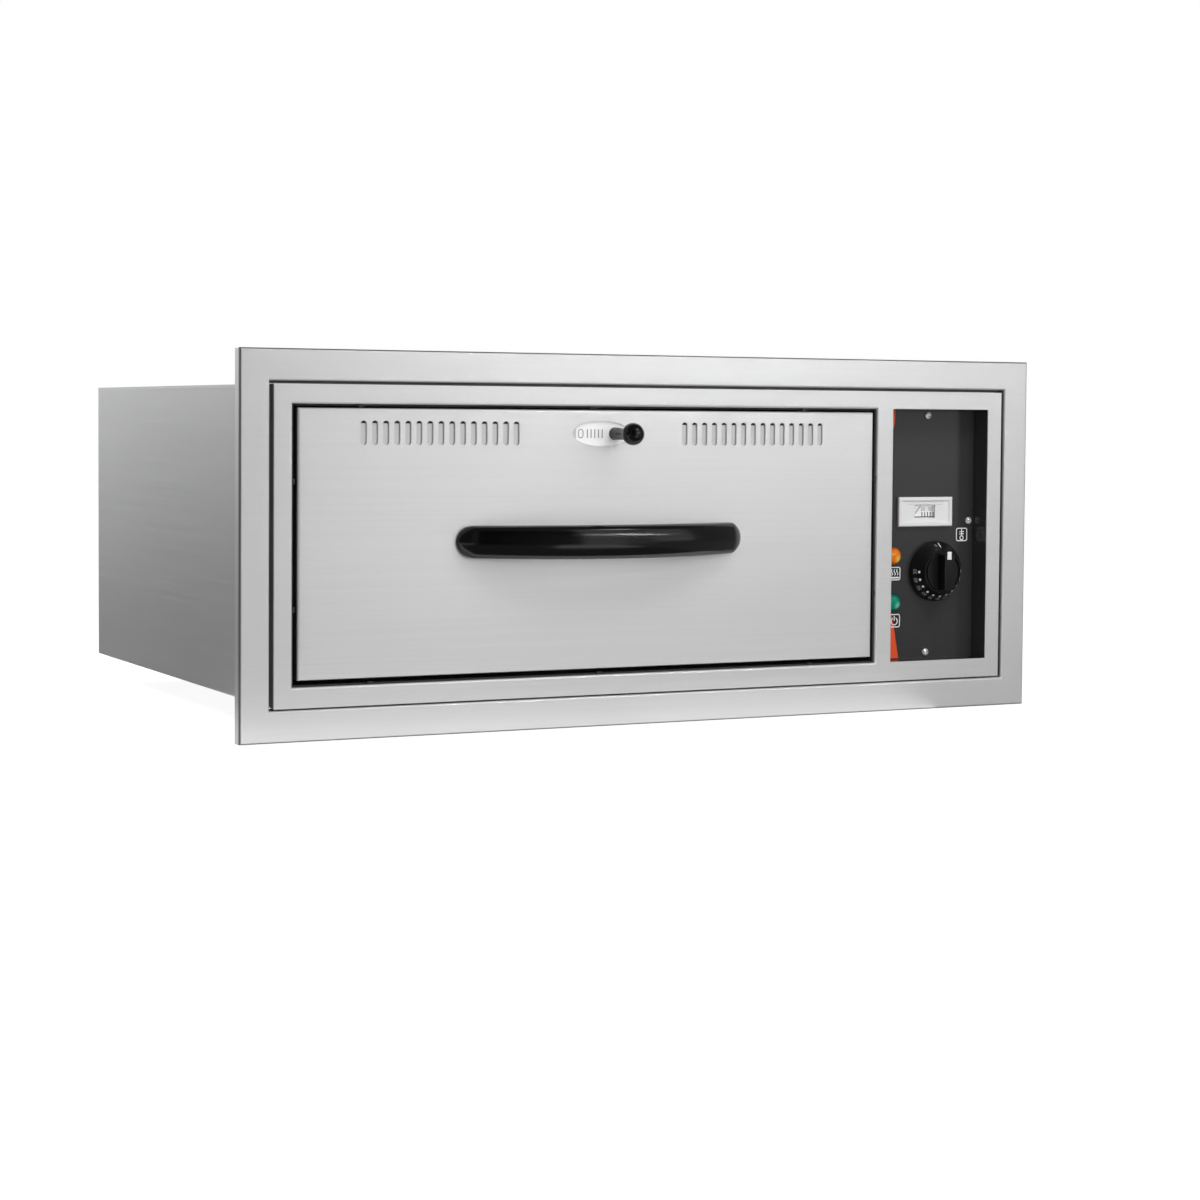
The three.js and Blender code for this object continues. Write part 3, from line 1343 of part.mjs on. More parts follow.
/** Rounded rectangle in the plane of one x, from the outer to the inner face. */
function bowSection(x, yOuter, yInner, halfHeight) {
  const depth = yInner - yOuter;
  const radius = Math.min(HANDLE_EDGE, depth * 0.45, halfHeight * 0.9);
  const back = Math.min(radius, 1.5);
  const corners = [
    [yOuter + radius, halfHeight - radius, radius, 90],
    [yOuter + radius, -halfHeight + radius, radius, 180],
    [yInner - back, -halfHeight + back, back, 270],
    [yInner - back, halfHeight - back, back, 0],
  ];
  const steps = 3;
  return corners.flatMap(([cy, cz, r, from]) => (
    Array.from({ length: steps + 1 }, (_, k) => {
      const angle = THREE.MathUtils.degToRad(from + (90 * k) / steps);
      return v3(x, cy + r * Math.cos(angle), cz + r * Math.sin(angle));
    })));
}

function handleScrew({ x }) {
  const seat = skinBack + SEAT;
  return turned(x, HANDLE_Z, [
    [0, -HANDLE_SCREW_REACH],
    [SCREW_RADIUS, HANDLE_SCREW_TIP - HANDLE_SCREW_REACH],
    [SCREW_RADIUS, seat],
    [SCREW_HEAD_RADIUS, seat],
    [SCREW_HEAD_RADIUS, seat + SCREW_HEAD * 0.5],
    [SCREW_HEAD_RADIUS * 0.6, seat + SCREW_HEAD],
    [0, seat + SCREW_HEAD],
  ], 14);
}

// ---------------------------------------------------------------- carriage and pan

/** Side of the carriage: web, ledge for the pan at the top and a foot. */
function sideMember() {
  const half = SHEET / 2;
  const x = carriage.x0 + half;
  const section = fold([
    [x + LEDGE, LEDGE_TOP - half],
    [x, LEDGE_TOP - half],
    [x, CARRIAGE_BOTTOM + half],
    [x + CARRIAGE_FOOT, CARRIAGE_BOTTOM + half],
  ]);
  return extrudeOutline('y', section, carriageFront, carriageRear);
}

/** Rail between the ledges: level top, web on the side away from the pan. */
function panRail(webY, towards) {
  const half = SHEET / 2;
  const section = fold([
    [webY + towards * RAIL_WIDTH, LEDGE_TOP - half],
    [webY, LEDGE_TOP - half],
    [webY, LEDGE_TOP - RAIL_DROP],
  ]);
  const inset = half + LEDGE + SEAT;
  return extrudeOutline('x', section, carriage.x0 + inset, carriage.x1 - inset);
}

function carriageRearMember() {
  const half = SHEET / 2;
  const y = carriageRear + SEAT + half;
  const section = fold([
    [y, CARRIAGE_BOTTOM],
    [y, LEDGE_TOP - half],
    [y + REAR_FLANGE, LEDGE_TOP - half],
  ]);
  return extrudeOutline('x', section, carriage.x0, carriage.x1);
}

/** Rounded rectangle at one height, about the pan's middle. */
function panRing(inset, z, radius) {
  const hx = panLength / 2 - inset;
  const hy = PAN_WIDTH / 2 - inset;
  const steps = 4;
  const corners = [[1, 1, 0], [-1, 1, 90], [-1, -1, 180], [1, -1, 270]];
  return corners.flatMap(([sx, sy, from]) => (
    Array.from({ length: steps + 1 }, (_, k) => {
      const angle = THREE.MathUtils.degToRad(from + (90 * k) / steps);
      return v3(
        middleX(door) + sx * (hx - radius) + radius * Math.cos(angle),
        panMiddleY + sy * (hy - radius) + radius * Math.sin(angle),
        z,
      );
    })));
}

/** Deep-drawn pan: flat rim, tapered walls and a rounded foot. */
function foodPan() {
  const rimTop = panRimUnderside + PAN_SHEET;
  const floor = rimTop - PAN_DEPTH;
  const foot = PAN_FOOT;
  const wall = PAN_RIM;
  const low = wall + PAN_TAPER;
  const corner = PAN_CORNER;
  const outside = [
    panRing(low + foot, floor, corner - foot),
    panRing(low + foot * 0.3, floor + foot * 0.3, corner - foot * 0.3),
    panRing(low, floor + foot, corner),
    panRing(wall, panRimUnderside - 2, corner),
    panRing(wall - 1.5, panRimUnderside, corner + 1.5),
    panRing(0, panRimUnderside, PAN_RIM_CORNER),
    panRing(0, rimTop, PAN_RIM_CORNER),
  ];
  const inside = [
    panRing(wall, rimTop, corner),
    panRing(wall + PAN_SHEET, rimTop - 2, corner - PAN_SHEET),
    panRing(low + PAN_SHEET, floor + foot, corner - PAN_SHEET),
    panRing(low + PAN_SHEET + foot * 0.3, floor + PAN_SHEET + foot * 0.3, corner - PAN_SHEET - foot * 0.3),
    panRing(low + foot, floor + PAN_SHEET, corner - foot),
  ];
  return loft([...outside, ...inside]);
}

// ---------------------------------------------------------------- assembly

add('trim_frame', trimFrame(), brushed);
add('face_frame', faceFrame(), brushed);
add('housing_shell', housingShell(), brushedWall);
add('top_cover', topCover(), brushedWall);
add('rear_panel', rearPanel(), brushedWall);
add('cavity_liner', cavityLiner(), bright);
add('insulation_wrap', insulationWrap(), wool);
add('opening_seal', openingSeal(), rubber);

add('control_panel', controlPanel(), blackPanel);
for (const place of panelScrewPlaces()) {
  add(place.name, panelScrew(place), bright);
}
add('thermometer_bezel', thermometerBezel(), whitePlastic);
add('thermometer_case', thermometerCase(), blackPanel);
add('thermometer_lens', thermometerLens(), clear);
add('thermometer_dial', thermometerDial(), whitePlastic);
add('thermometer_pointer', thermometerPointer(), redPaint);
add('thermostat_body', thermostatBody(), ceramic);
add('thermostat_shaft', thermostatShaft(), bright);
const thermostatBack = panelBack + SEAT + THERMOSTAT_DEPTH + SEAT;
add(
  'thermostat_capillary',
  capillary(v3(knobX + 12, thermostatBack, KNOB_Z), THERMOSTAT_RISE_Y, thermostatBulbZ),
  copper,
);
const meterBack = PANEL_DEPTH + METER_CASE_DEPTH + SEAT;
add(
  'thermometer_capillary',
  capillary(v3(meterX, meterBack, METER_Z), METER_RISE_Y, meterBulbZ),
  copper,
);
add('thermostat_knob', thermostatKnob(), blackGloss);
add('lamp_lens_amber', lampLens(AMBER_Z), amber);
add('lamp_lens_green', lampLens(GREEN_Z), green);
add('lamp_body_amber', lampBody(AMBER_Z), blackPanel);
add('lamp_body_green', lampBody(GREEN_Z), blackPanel);

add('heating_element', heatingElement(), elementSteel);
add('element_bracket_left', elementBracket(cavity.x0 + BRACKET_INSET), bright);
add('element_bracket_middle', elementBracket(middleX(cavity)), bright);
add('element_bracket_right', elementBracket(cavity.x1 - BRACKET_INSET), bright);
add('limit_thermostat', limitThermostat(), ceramic);
add('terminal_block', terminalBlock(), ceramic);
add('cable_gland', cableGland(), rubber);

const slideRight = (geometry) => mirrored(geometry, middleX(cavity));
add('slide_outer_left', slideMembers.outer(), bright);
add('slide_outer_right', slideRight(slideMembers.outer()), bright);
add('slide_middle_left', slideMembers.middle(), bright);
add('slide_middle_right', slideRight(slideMembers.middle()), bright);
add('slide_inner_left', slideMembers.inner(), bright);
add('slide_inner_right', slideRight(slideMembers.inner()), bright);

add('drawer_front', drawerFront(), brushed);
add('drawer_front_liner', drawerFrontLiner(), bright);
add('front_insulation', frontInsulation(), wool);
add('handle', handleBow(), blackGloss);
for (const place of handleScrewPlaces()) {
  add(place.name, handleScrew(place), bright);
}
add('damper_guide_top', damperGuide(1), bright);
add('damper_guide_bottom', damperGuide(-1), bright);
add('damper_plate', damperPlate(), bright);
add('damper_stud', damperStud(), bright);
add('damper_knob', damperKnob(), blackGloss);

add('carriage_side_left', sideMember(), bright);
add('carriage_side_right', slideRight(sideMember()), bright);
add('pan_rail_front', panRail(carriageFront + SHEET / 2, 1), bright);
add('pan_rail_rear', panRail(PAN_FRONT + PAN_WIDTH + PAN_RIM, -1), bright);
add('carriage_rear', carriageRearMember(), bright);
add('food_pan', foodPan(), bright);

// The origin: the middle of the bottom strip of the trim's back flange
model.position.set(0, -TRIM_DEPTH, -TRIM_FLANGE / 2);
model.updateMatrixWorld(true);

export default model;
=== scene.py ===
"""Looks of the built-in warming drawer: materials, smooth shapes, markings, light and camera.

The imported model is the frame, in metres, X to the right, Y to the back, Z up. Places on the front
are given in millimetres from the trim's lower edge and front face, as on a drawing.
"""

import json
import math

import bmesh
import bpy
from mathutils import Matrix, Vector


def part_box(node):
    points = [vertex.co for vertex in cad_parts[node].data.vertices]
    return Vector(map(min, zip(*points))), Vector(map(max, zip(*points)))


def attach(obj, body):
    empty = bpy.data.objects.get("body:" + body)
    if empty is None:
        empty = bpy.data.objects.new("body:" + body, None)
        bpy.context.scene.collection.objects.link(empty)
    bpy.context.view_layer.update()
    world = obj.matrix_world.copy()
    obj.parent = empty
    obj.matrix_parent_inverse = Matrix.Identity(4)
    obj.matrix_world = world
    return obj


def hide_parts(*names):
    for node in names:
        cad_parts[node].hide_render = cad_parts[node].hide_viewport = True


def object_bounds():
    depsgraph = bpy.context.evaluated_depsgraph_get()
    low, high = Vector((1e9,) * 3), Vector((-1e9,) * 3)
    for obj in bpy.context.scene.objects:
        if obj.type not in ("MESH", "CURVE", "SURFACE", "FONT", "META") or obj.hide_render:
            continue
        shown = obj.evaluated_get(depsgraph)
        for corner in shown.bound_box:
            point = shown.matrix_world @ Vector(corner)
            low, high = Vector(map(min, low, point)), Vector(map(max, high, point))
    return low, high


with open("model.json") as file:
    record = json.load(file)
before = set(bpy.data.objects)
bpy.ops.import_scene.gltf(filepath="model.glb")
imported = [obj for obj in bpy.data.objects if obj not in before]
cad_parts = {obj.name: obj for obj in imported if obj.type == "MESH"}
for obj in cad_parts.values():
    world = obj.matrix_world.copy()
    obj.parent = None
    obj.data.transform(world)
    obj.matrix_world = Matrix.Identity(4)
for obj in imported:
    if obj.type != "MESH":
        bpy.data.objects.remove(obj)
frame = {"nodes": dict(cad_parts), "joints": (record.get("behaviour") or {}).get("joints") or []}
cad_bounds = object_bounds()
nodes = frame["nodes"]

MM = 0.001
trim_low = Vector(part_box("trim_frame")[0])


def at(x, y, z):
    """A place on the drawing, in millimetres, as a point of the frame."""
    return Vector((x * MM, trim_low.y + y * MM, trim_low.z + z * MM))


def drawn(point):
    """A point of the frame as millimetres on the drawing."""
    return Vector((point[0], point[1] - trim_low.y, point[2] - trim_low.z)) / MM


def drawn_box(node):
    low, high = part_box(node)
    return drawn(low), drawn(high)


def placed(node):
    """A piece's middle x and z, half its width, and its front and back."""
    low, high = drawn_box(node)
    return (low.x + high.x) / 2, (low.z + high.z) / 2, (high.x - low.x) / 2, low.y, high.y


def joint(name):
    return next(one for one in frame["joints"] if one["name"] == name)


# ---- camera

CAMERA_PLACE = (-1077.0, -2043.8, 278.9)
CAMERA_YAW = 26.68
CAMERA_PITCH = -2.573
CAMERA_ROLL = 0.429
IMAGE_SIDE = 1200
FOCAL_PIXELS = 2549.5
OPTICAL_CENTRE_PIXEL = (613.6, 530.5)
SENSOR_MM = 36.0
CLIP_NEAR = 0.05          # metres
CLIP_FAR = 60


def make_camera():
    data = bpy.data.cameras.new("camera")
    data.sensor_width = SENSOR_MM
    data.sensor_fit = "HORIZONTAL"
    data.lens = FOCAL_PIXELS / IMAGE_SIDE * SENSOR_MM
    data.shift_x = (IMAGE_SIDE / 2 - OPTICAL_CENTRE_PIXEL[0]) / IMAGE_SIDE
    data.shift_y = (OPTICAL_CENTRE_PIXEL[1] - IMAGE_SIDE / 2) / IMAGE_SIDE
    data.clip_start = CLIP_NEAR
    data.clip_end = CLIP_FAR
    camera = bpy.data.objects.new("camera", data)
    bpy.context.scene.collection.objects.link(camera)
    yaw, pitch, roll = (math.radians(a) for a in (CAMERA_YAW, CAMERA_PITCH, CAMERA_ROLL))
    level = math.cos(pitch)
    forward = Vector((math.sin(yaw) * level, math.cos(yaw) * level, math.sin(pitch)))
    right = Vector((math.cos(yaw), -math.sin(yaw), 0.0))
    up = right.cross(forward)
    rolled_right = right * math.cos(roll) + up * math.sin(roll)
    rolled_up = up * math.cos(roll) - right * math.sin(roll)
    turn = Matrix((rolled_right, rolled_up, -forward)).transposed().to_4x4()
    camera.matrix_world = Matrix.Translation(at(*CAMERA_PLACE)) @ turn
    bpy.context.scene.camera = camera


make_camera()


# ---- material helpers

class Surface:
    """A node material with a Principled shader and short calls for procedural textures."""

    def __init__(self, name, color, roughness, metallic=0.0, **sockets):
        self.material = bpy.data.materials.new(name)
        self.material.use_nodes = True
        self.tree = self.material.node_tree
        self.shader = self.tree.nodes["Principled BSDF"]
        self.base = color
        self.shader.inputs["Base Color"].default_value = (*color, 1)
        self.shader.inputs["Roughness"].default_value = roughness
        self.shader.inputs["Metallic"].default_value = metallic
        for socket, value in sockets.items():
            self.shader.inputs[socket.replace("_", " ")].default_value = value
        places = self.node("ShaderNodeTexCoord")
        self.coordinates = places.outputs["Object"]
        self.normals = places.outputs["Normal"]

    def node(self, kind, **settings):
        made = self.tree.nodes.new(kind)
        for key, value in settings.items():
            setattr(made, key, value)
        return made

    def link(self, source, target):
        self.tree.links.new(source, target)

    def stretched(self, scale):
        mapping = self.node("ShaderNodeMapping")
        mapping.inputs["Scale"].default_value = scale
        self.link(self.coordinates, mapping.inputs["Vector"])
        return mapping.outputs["Vector"]

    def noise(self, scale, detail=3.0, roughness=0.55, vector=None):
        texture = self.node("ShaderNodeTexNoise")
        texture.inputs["Scale"].default_value = scale
        texture.inputs["Detail"].default_value = detail
        texture.inputs["Roughness"].default_value = roughness
        self.link(vector or self.coordinates, texture.inputs["Vector"])
        return texture.outputs["Fac"]

    def remap(self, value, low, high, start=0.3, end=0.7):
        node = self.node("ShaderNodeMapRange")
        node.inputs["From Min"].default_value = start
        node.inputs["From Max"].default_value = end
        node.inputs["To Min"].default_value = low
        node.inputs["To Max"].default_value = high
        self.link(value, node.inputs["Value"])
        return node.outputs["Result"]

    def feed(self, value, socket):
        """Sets a socket to a number or a colour, or links another node's output to it."""
        if isinstance(value, bpy.types.NodeSocket):
            self.link(value, socket)
        else:
            socket.default_value = value

    def math(self, operation, first, second=0.0):
        node = self.node("ShaderNodeMath", operation=operation)
        for socket, value in zip(node.inputs, (first, second)):
            self.feed(value, socket)
        return node.outputs[0]

    def plus(self, first, second):
        return self.math("ADD", first, second)

    def times(self, first, second):
        return self.math("MULTIPLY", first, second)

    def blend(self, first, second, share):
        """A share of the first value and the rest of the second."""
        return self.plus(self.times(first, share), self.times(second, 1 - share))

    def mix(self, factor, first, second):
        """The first colour where the factor is 0, the second where it is 1."""
        node = self.node("ShaderNodeMix", data_type="RGBA")
        for key, value in (("A", first), ("B", second), ("Factor", factor)):
            self.feed(value, node.inputs[key])
        return node.outputs["Result"]

    def split(self, vector):
        """The X, Y and Z of a vector."""
        node = self.node("ShaderNodeSeparateXYZ")
        self.link(vector, node.inputs[0])
        return node.outputs

    def tint(self, value, dark, light):
        """Base colour that varies between two factors of the plain colour."""
        shades = [(*[min(c * factor, 1) for c in self.base], 1) for factor in (dark, light)]
        self.link(self.mix(value, *shades), self.shader.inputs["Base Color"])

    def shade_off(self, value, tone):
        """Base colour that falls to a share of itself where the value is 1."""
        color = self.shader.inputs["Base Color"]
        shaded = (*[c * tone for c in self.base], 1)
        self.link(self.mix(value, color.links[0].from_socket, shaded), color)

    def rough(self, value, low, high):
        self.link(self.remap(value, low, high), self.shader.inputs["Roughness"])

    def bump(self, value, distance, strength=1.0, edge=0.0):
        node = self.node("ShaderNodeBump")
        node.inputs["Strength"].default_value = strength
        node.inputs["Distance"].default_value = distance
        self.link(value, node.inputs["Height"])
        if edge:
            rounding = self.node("ShaderNodeBevel", samples=4)
            rounding.inputs["Radius"].default_value = edge
            self.link(rounding.outputs["Normal"], node.inputs["Normal"])
        self.link(node.outputs["Normal"], self.shader.inputs["Normal"])

    def finished(self, tone, shades, relief, bump, roughness=(), span=(0.3, 0.7)):
        """Colour, gloss and relief from textures, and then the material."""
        self.tint(self.remap(tone, 0.0, 1.0, *span), *shades)
        if roughness:
            self.rough(tone, *roughness)
        self.bump(relief, *bump)
        return self.material


GRAIN_LONG = 5.0      # streaks per metre along the brushing
GRAIN_FINE = 2600.0   # and across it

RETURN_START = 2.0    # behind the front face, where the sheet turns inwards and the painted shade starts
RETURN_END = 4.2
RETURN_SHADE_TONE = 0.16    # painted shade on the inner returns, as a share of the face's colour
LEVEL_RETURN_SHADE = 0.55   # share of the painted shade that level returns get, against upright ones
FOLD_SHADE_LINE = (0.05, 0.35, 2.8, 4.0)    # depths at which the painted dark line along the outer fold comes and goes
OUTER_RETURN_SHADE = 0.35   # share of the full painted shade that the outer return gets
TRIM_MARGIN = 2.0     # of the trim's outline that counts as outer return


def painted_return_shade_mask(surface):
    """Painted shade mask: 0 on the front face, some on the outer return, up to 1 on what lies
    behind the face.
    """
    place = surface.split(surface.coordinates)
    start = trim_low.y + RETURN_START * MM
    end = trim_low.y + RETURN_END * MM
    behind = surface.remap(place["Y"], 0.0, 1.0, start, end)
    trim_high = Vector(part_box("trim_frame")[1])
    inside = 1.0
    for axis in "XZ":
        low, high = getattr(trim_low, axis.lower()), getattr(trim_high, axis.lower())
        offset = surface.math("ABSOLUTE", surface.math("SUBTRACT", place[axis], (low + high) / 2))
        reach = (high - low) / 2 - TRIM_MARGIN * MM
        inside = surface.times(surface.math("LESS_THAN", offset, reach), inside)
    # level returns get less painted shade than upright ones
    level = surface.math("ABSOLUTE", surface.split(surface.normals)["Z"])
    share = surface.remap(level, 1.0, LEVEL_RETURN_SHADE, 0.4, 0.8)
    inner = surface.times(surface.times(behind, inside), share)
    # a painted dark line along the trim's outer fold, then painted shade on the outer return
    come, full, leave, gone = (trim_low.y + depth * MM for depth in FOLD_SHADE_LINE)
    line = surface.times(surface.remap(place["Y"], 0.0, 1.0, come, full),
                         surface.remap(place["Y"], 1.0, OUTER_RETURN_SHADE, leave, gone))
    return surface.plus(inner, surface.times(line, surface.math("SUBTRACT", 1.0, inside)))


def brushed_steel(name, color, along, roughness=(0.34, 0.44), metallic=0.7, contrast=0.02,
                  edge=0.0006, painted_return_shade=False):
    """Steel brushed along one axis: long fine streaks, a few broader ones and faint clouds, and
    painted shade on its returns if asked.
    """
    surface = Surface(name, color, sum(roughness) / 2, metallic)

    def grain(length, width, detail, softness):
        scale = tuple(length if axis == along else width for axis in "XYZ")
        return surface.noise(1.0, detail, softness, surface.stretched(scale))

    fine = grain(GRAIN_LONG, GRAIN_FINE, 2.0, 0.5)
    broad = grain(GRAIN_LONG * 0.5, GRAIN_FINE / 7, 3.0, 0.6)
    cloud = surface.noise(6.0, 2.0)
    streaks = surface.blend(fine, broad, 0.6)
    tone = surface.blend(streaks, cloud, 0.8)
    surface.tint(surface.remap(tone, 0.0, 1.0, 0.35, 0.65), 1 - contrast, 1 + contrast)
    # painted shade on the returns behind the front face, and a painted dark line at the trim's
    # outer fold
    if painted_return_shade:
        surface.shade_off(painted_return_shade_mask(surface), RETURN_SHADE_TONE)
    surface.rough(streaks, *roughness)
    surface.bump(streaks, 0.00002, 0.2, edge)
    return surface.material


def sheet_metal(name, color, roughness=(0.3, 0.45), metallic=1.0, scale=40.0):
    """Plain rolled sheet: faint rolling lines and handling marks."""
    surface = Surface(name, color, sum(roughness) / 2, metallic)
    cloud = surface.noise(scale, 5.0, 0.65)
    lines = surface.noise(1.0, 3.0, 0.6, surface.stretched((500.0, 9.0, 500.0)))
    tone = surface.blend(cloud, lines, 0.5)
    return surface.finished(tone, (0.93, 1.05), tone, (0.00004, 0.3, 0.0005), roughness,
                            (0.35, 0.65))


def moulded(name, color, roughness, grain=900.0, depth=0.00004, gloss=0.5, tone=(0.9, 1.1)):
    """Moulded plastic: fine skin texture, slightly uneven gloss."""
    surface = Surface(name, color, sum(roughness) / 2, Specular_IOR_Level=gloss)
    skin = surface.noise(grain, 2.0)
    cloud = surface.noise(28.0, 4.0, 0.6)
    return surface.finished(cloud, tone, skin, (depth, 0.4, 0.0003), roughness)


def coated(name, color, roughness=(0.3, 0.42), gloss=0.5, dust=(0.94, 1.18), glow=0.0):
    """Powder-coated or painted sheet: orange-peel skin and faint dust, and painted light that glows
    from it if asked.
    """
    surface = Surface(name, color, sum(roughness) / 2, Specular_IOR_Level=gloss)
    peel = surface.noise(1400.0, 2.0)
    film = surface.noise(60.0, 6.0, 0.7)
    # the glow is painted light: the surface shines by itself though it is no lamp
    surface.shader.inputs["Emission Color"].default_value = (*color, 1)
    surface.shader.inputs["Emission Strength"].default_value = glow
    return surface.finished(film, dust, peel, (0.00005, 0.35, 0.0004), roughness, (0.4, 0.75))


RIM_SHADE_START = 0.62          # where the painted shade of the rim starts, in radii of the lens, from its middle
# place of the painted highlight, in radii of the lens from its middle, and where it starts
PAINTED_HOT_SPOT = (0.42, -0.36)
PAINTED_HOT_START = 0.1
LENS_FADE = 0.45


def lens_material(name, node, rim, body, glint):
    """Tinted translucent dome with painted shade at the rim and a painted highlight towards its
    lower right.
    """
    surface = Surface(name, body, 0.06, Specular_IOR_Level=0.3)
    low, high = (Vector(corner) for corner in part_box(node))
    radius = (high.x - low.x) / 2

    def away_from(across, up, start):
        distance = surface.node("ShaderNodeVectorMath", operation="DISTANCE")
        surface.link(surface.coordinates, distance.inputs[0])
        middle = (low + high) / 2
        distance.inputs[1].default_value = (
            middle.x + across * radius, low.y, middle.z + up * radius)
        return surface.remap(distance.outputs["Value"], 0.0, 1.0, start * radius,
                             (start + LENS_FADE) * radius)

    # painted rim shade, then a painted highlight
    color = surface.mix(away_from(0.0, 0.0, RIM_SHADE_START), (*body, 1), (*rim, 1))
    color = surface.mix(away_from(*PAINTED_HOT_SPOT, PAINTED_HOT_START), (*glint, 1), color)
    surface.link(color, surface.shader.inputs["Base Color"])
    surface.bump(surface.noise(420.0, 1.0), 0.0001, 0.4)
    return surface.material


def window_material(name, color, opacity):
    """Clear plastic window: almost unseen, with a faint film of dust and its own gloss."""
    surface = Surface(name, color, 0.05, Alpha=opacity)
    dust = surface.noise(240.0, 4.0, 0.7)
    return surface.finished(dust, (0.96, 1.0), dust, (0.00001, 0.2), (0.03, 0.09))


def print_ink(name, color, roughness=0.5):
    surface = Surface(name, color, roughness)
    speck = surface.noise(1800.0, 2.0)
    return surface.finished(speck, (0.9, 1.06), speck, (0.00001, 0.3))


def wool_material(name, color):
    surface = Surface(name, color, 0.95, Sheen_Weight=0.3, Sheen_Roughness=0.6)
    fibre = surface.noise(1.0, 6.0, 0.7, surface.stretched((260.0, 90.0, 700.0)))
    clump = surface.noise(70.0, 5.0, 0.7)
    both = surface.blend(fibre, clump, 0.6)
    return surface.finished(both, (0.7, 1.2), both, (0.0012, 0.8))


def grey(value):
    return (value, value, value)


BLACK = (0.002, 0.002, 0.0022)

MATERIALS = {
    # trim, face frame and drawer front get painted shade on their returns
    "trim_level": brushed_steel("steel_trim", grey(0.745), "X", metallic=0.55, edge=0.001,
                                painted_return_shade=True),
    "front": brushed_steel("steel_drawer_front", grey(0.755), "X", (0.36, 0.46), 0.55,
                           contrast=0.03, painted_return_shade=True),
    "housing": brushed_steel("steel_housing", (0.42, 0.422, 0.426), "Y", (0.36, 0.48), 0.5,
                             edge=0.0),
    "inner": sheet_metal("steel_inner", grey(0.55)),
    "damper": brushed_steel("steel_damper", grey(0.60), "X", (0.40, 0.50), 0.15),
    # the label glows a little: painted light that makes it whiter
    "damper_label": coated("damper_label_white", grey(0.92), (0.4, 0.5), dust=(0.98, 1.02),
                           glow=0.16),
    "pan": sheet_metal("steel_pan", grey(0.62), (0.16, 0.26), scale=25.0),
    "slide": sheet_metal("steel_slide", (0.50, 0.51, 0.53), (0.22, 0.34), scale=90.0),
    "panel": coated("panel_black", (0.041, 0.041, 0.042), (0.13, 0.2), gloss=0.35,
                    dust=(0.97, 1.04)),
    "black_gloss": moulded("plastic_black_gloss", BLACK, (0.13, 0.18), 300.0, 0.000004),
    "ball_black": moulded("plastic_black_ball", BLACK, (0.10, 0.14), 300.0, 0.000004, 0.45),
    "knob_black": moulded("plastic_black_knob", (0.007, 0.007, 0.0075), (0.24, 0.34), 1200.0,
                          gloss=0.3),
    "black_moulding": moulded("plastic_black", (0.025, 0.025, 0.026), (0.4, 0.55)),
    "white_moulding": moulded("plastic_white", grey(0.90), (0.3, 0.42), tone=(0.97, 1.02)),
    # the dial card glows: painted light against the shade of the deep window
    "dial_card": coated("dial_card_white", grey(0.90), (0.5, 0.6), dust=(0.98, 1.01), glow=0.28),
    "pointer": coated("pointer_dark", (0.05, 0.045, 0.045)),
    "rubber": moulded("rubber_black", grey(0.018), (0.6, 0.8), 700.0, 0.0001),
    "wool": wool_material("mineral_wool", (0.48, 0.40, 0.24)),
    "element": sheet_metal("steel_element", (0.16, 0.14, 0.125), (0.4, 0.6), scale=220.0),
    "copper": sheet_metal("copper_tube", (0.72, 0.38, 0.22), (0.22, 0.36), scale=120.0),
    "ceramic": moulded("ceramic_cream", (0.70, 0.65, 0.54), (0.5, 0.65), 500.0,
                       tone=(0.94, 1.04)),
    "screw": sheet_metal("steel_screw", grey(0.95), (0.22, 0.32), 0.6, scale=600.0),
    # lens colours: painted rim shade, body, painted highlight
    "amber": lens_material("lens_amber", "lamp_lens_amber",
                           (0.36, 0.045, 0.004), (0.86, 0.22, 0.006), (1.0, 0.66, 0.12)),
    "green": lens_material("lens_green", "lamp_lens_green",
                           (0.0, 0.06, 0.04), (0.0, 0.26, 0.16), (0.18, 0.66, 0.48)),
    "clear": window_material("window_clear", (0.95, 0.96, 0.96), 0.07),
    "ink_white": print_ink("ink_white", grey(0.95)),
    "ink_grey": print_ink("ink_grey", grey(0.30)),
    "painted_arc_shade": print_ink("painted_arc_shade", grey(0.60)),
    "ink_dark": print_ink("ink_dark", grey(0.035)),
    "ink_orange": print_ink("ink_orange", (0.90, 0.085, 0.008), 0.4),
}

NODE_LOOKS = {
    "trim_level": ["trim_frame", "face_frame"],
    "front": ["drawer_front"],
    "housing": ["housing_shell", "top_cover", "rear_panel"],
    "inner": [
        "cavity_liner", "drawer_front_liner", "carriage_side_left", "carriage_side_right",
        "pan_rail_front", "pan_rail_rear", "carriage_rear", "food_pan",
        "element_bracket_left", "element_bracket_middle", "element_bracket_right",
        "damper_guide_top", "damper_guide_bottom",
    ],
    "damper": ["damper_plate"],
    "slide": [f"slide_{member}_{side}" for member in ("outer", "middle", "inner")
              for side in ("left", "right")],
    "panel": ["control_panel"],
    "black_moulding": ["thermometer_case", "lamp_body_amber", "lamp_body_green", "cable_gland"],
    "white_moulding": ["thermometer_bezel"],
    "dial_card": ["thermometer_dial"],
    "pointer": ["thermometer_pointer"],
    "rubber": ["opening_seal"],
    "wool": ["insulation_wrap", "front_insulation"],
    "element": ["heating_element"],
    "copper": ["thermometer_capillary", "thermostat_capillary"],
    "ceramic": ["thermostat_body", "limit_thermostat", "terminal_block"],
    "screw": [
        "thermostat_shaft", "handle_screw_left", "handle_screw_right", "damper_stud",
        "panel_screw_top", "panel_screw_bottom", "panel_screw_left", "panel_screw_right",
    ],
    "black_gloss": ["handle", "damper_knob"],
    "knob_black": ["thermostat_knob"],
    "amber": ["lamp_lens_amber"],
    "green": ["lamp_lens_green"],
    "clear": ["thermometer_lens"],
}

SMOOTH_BELOW = math.radians(40)


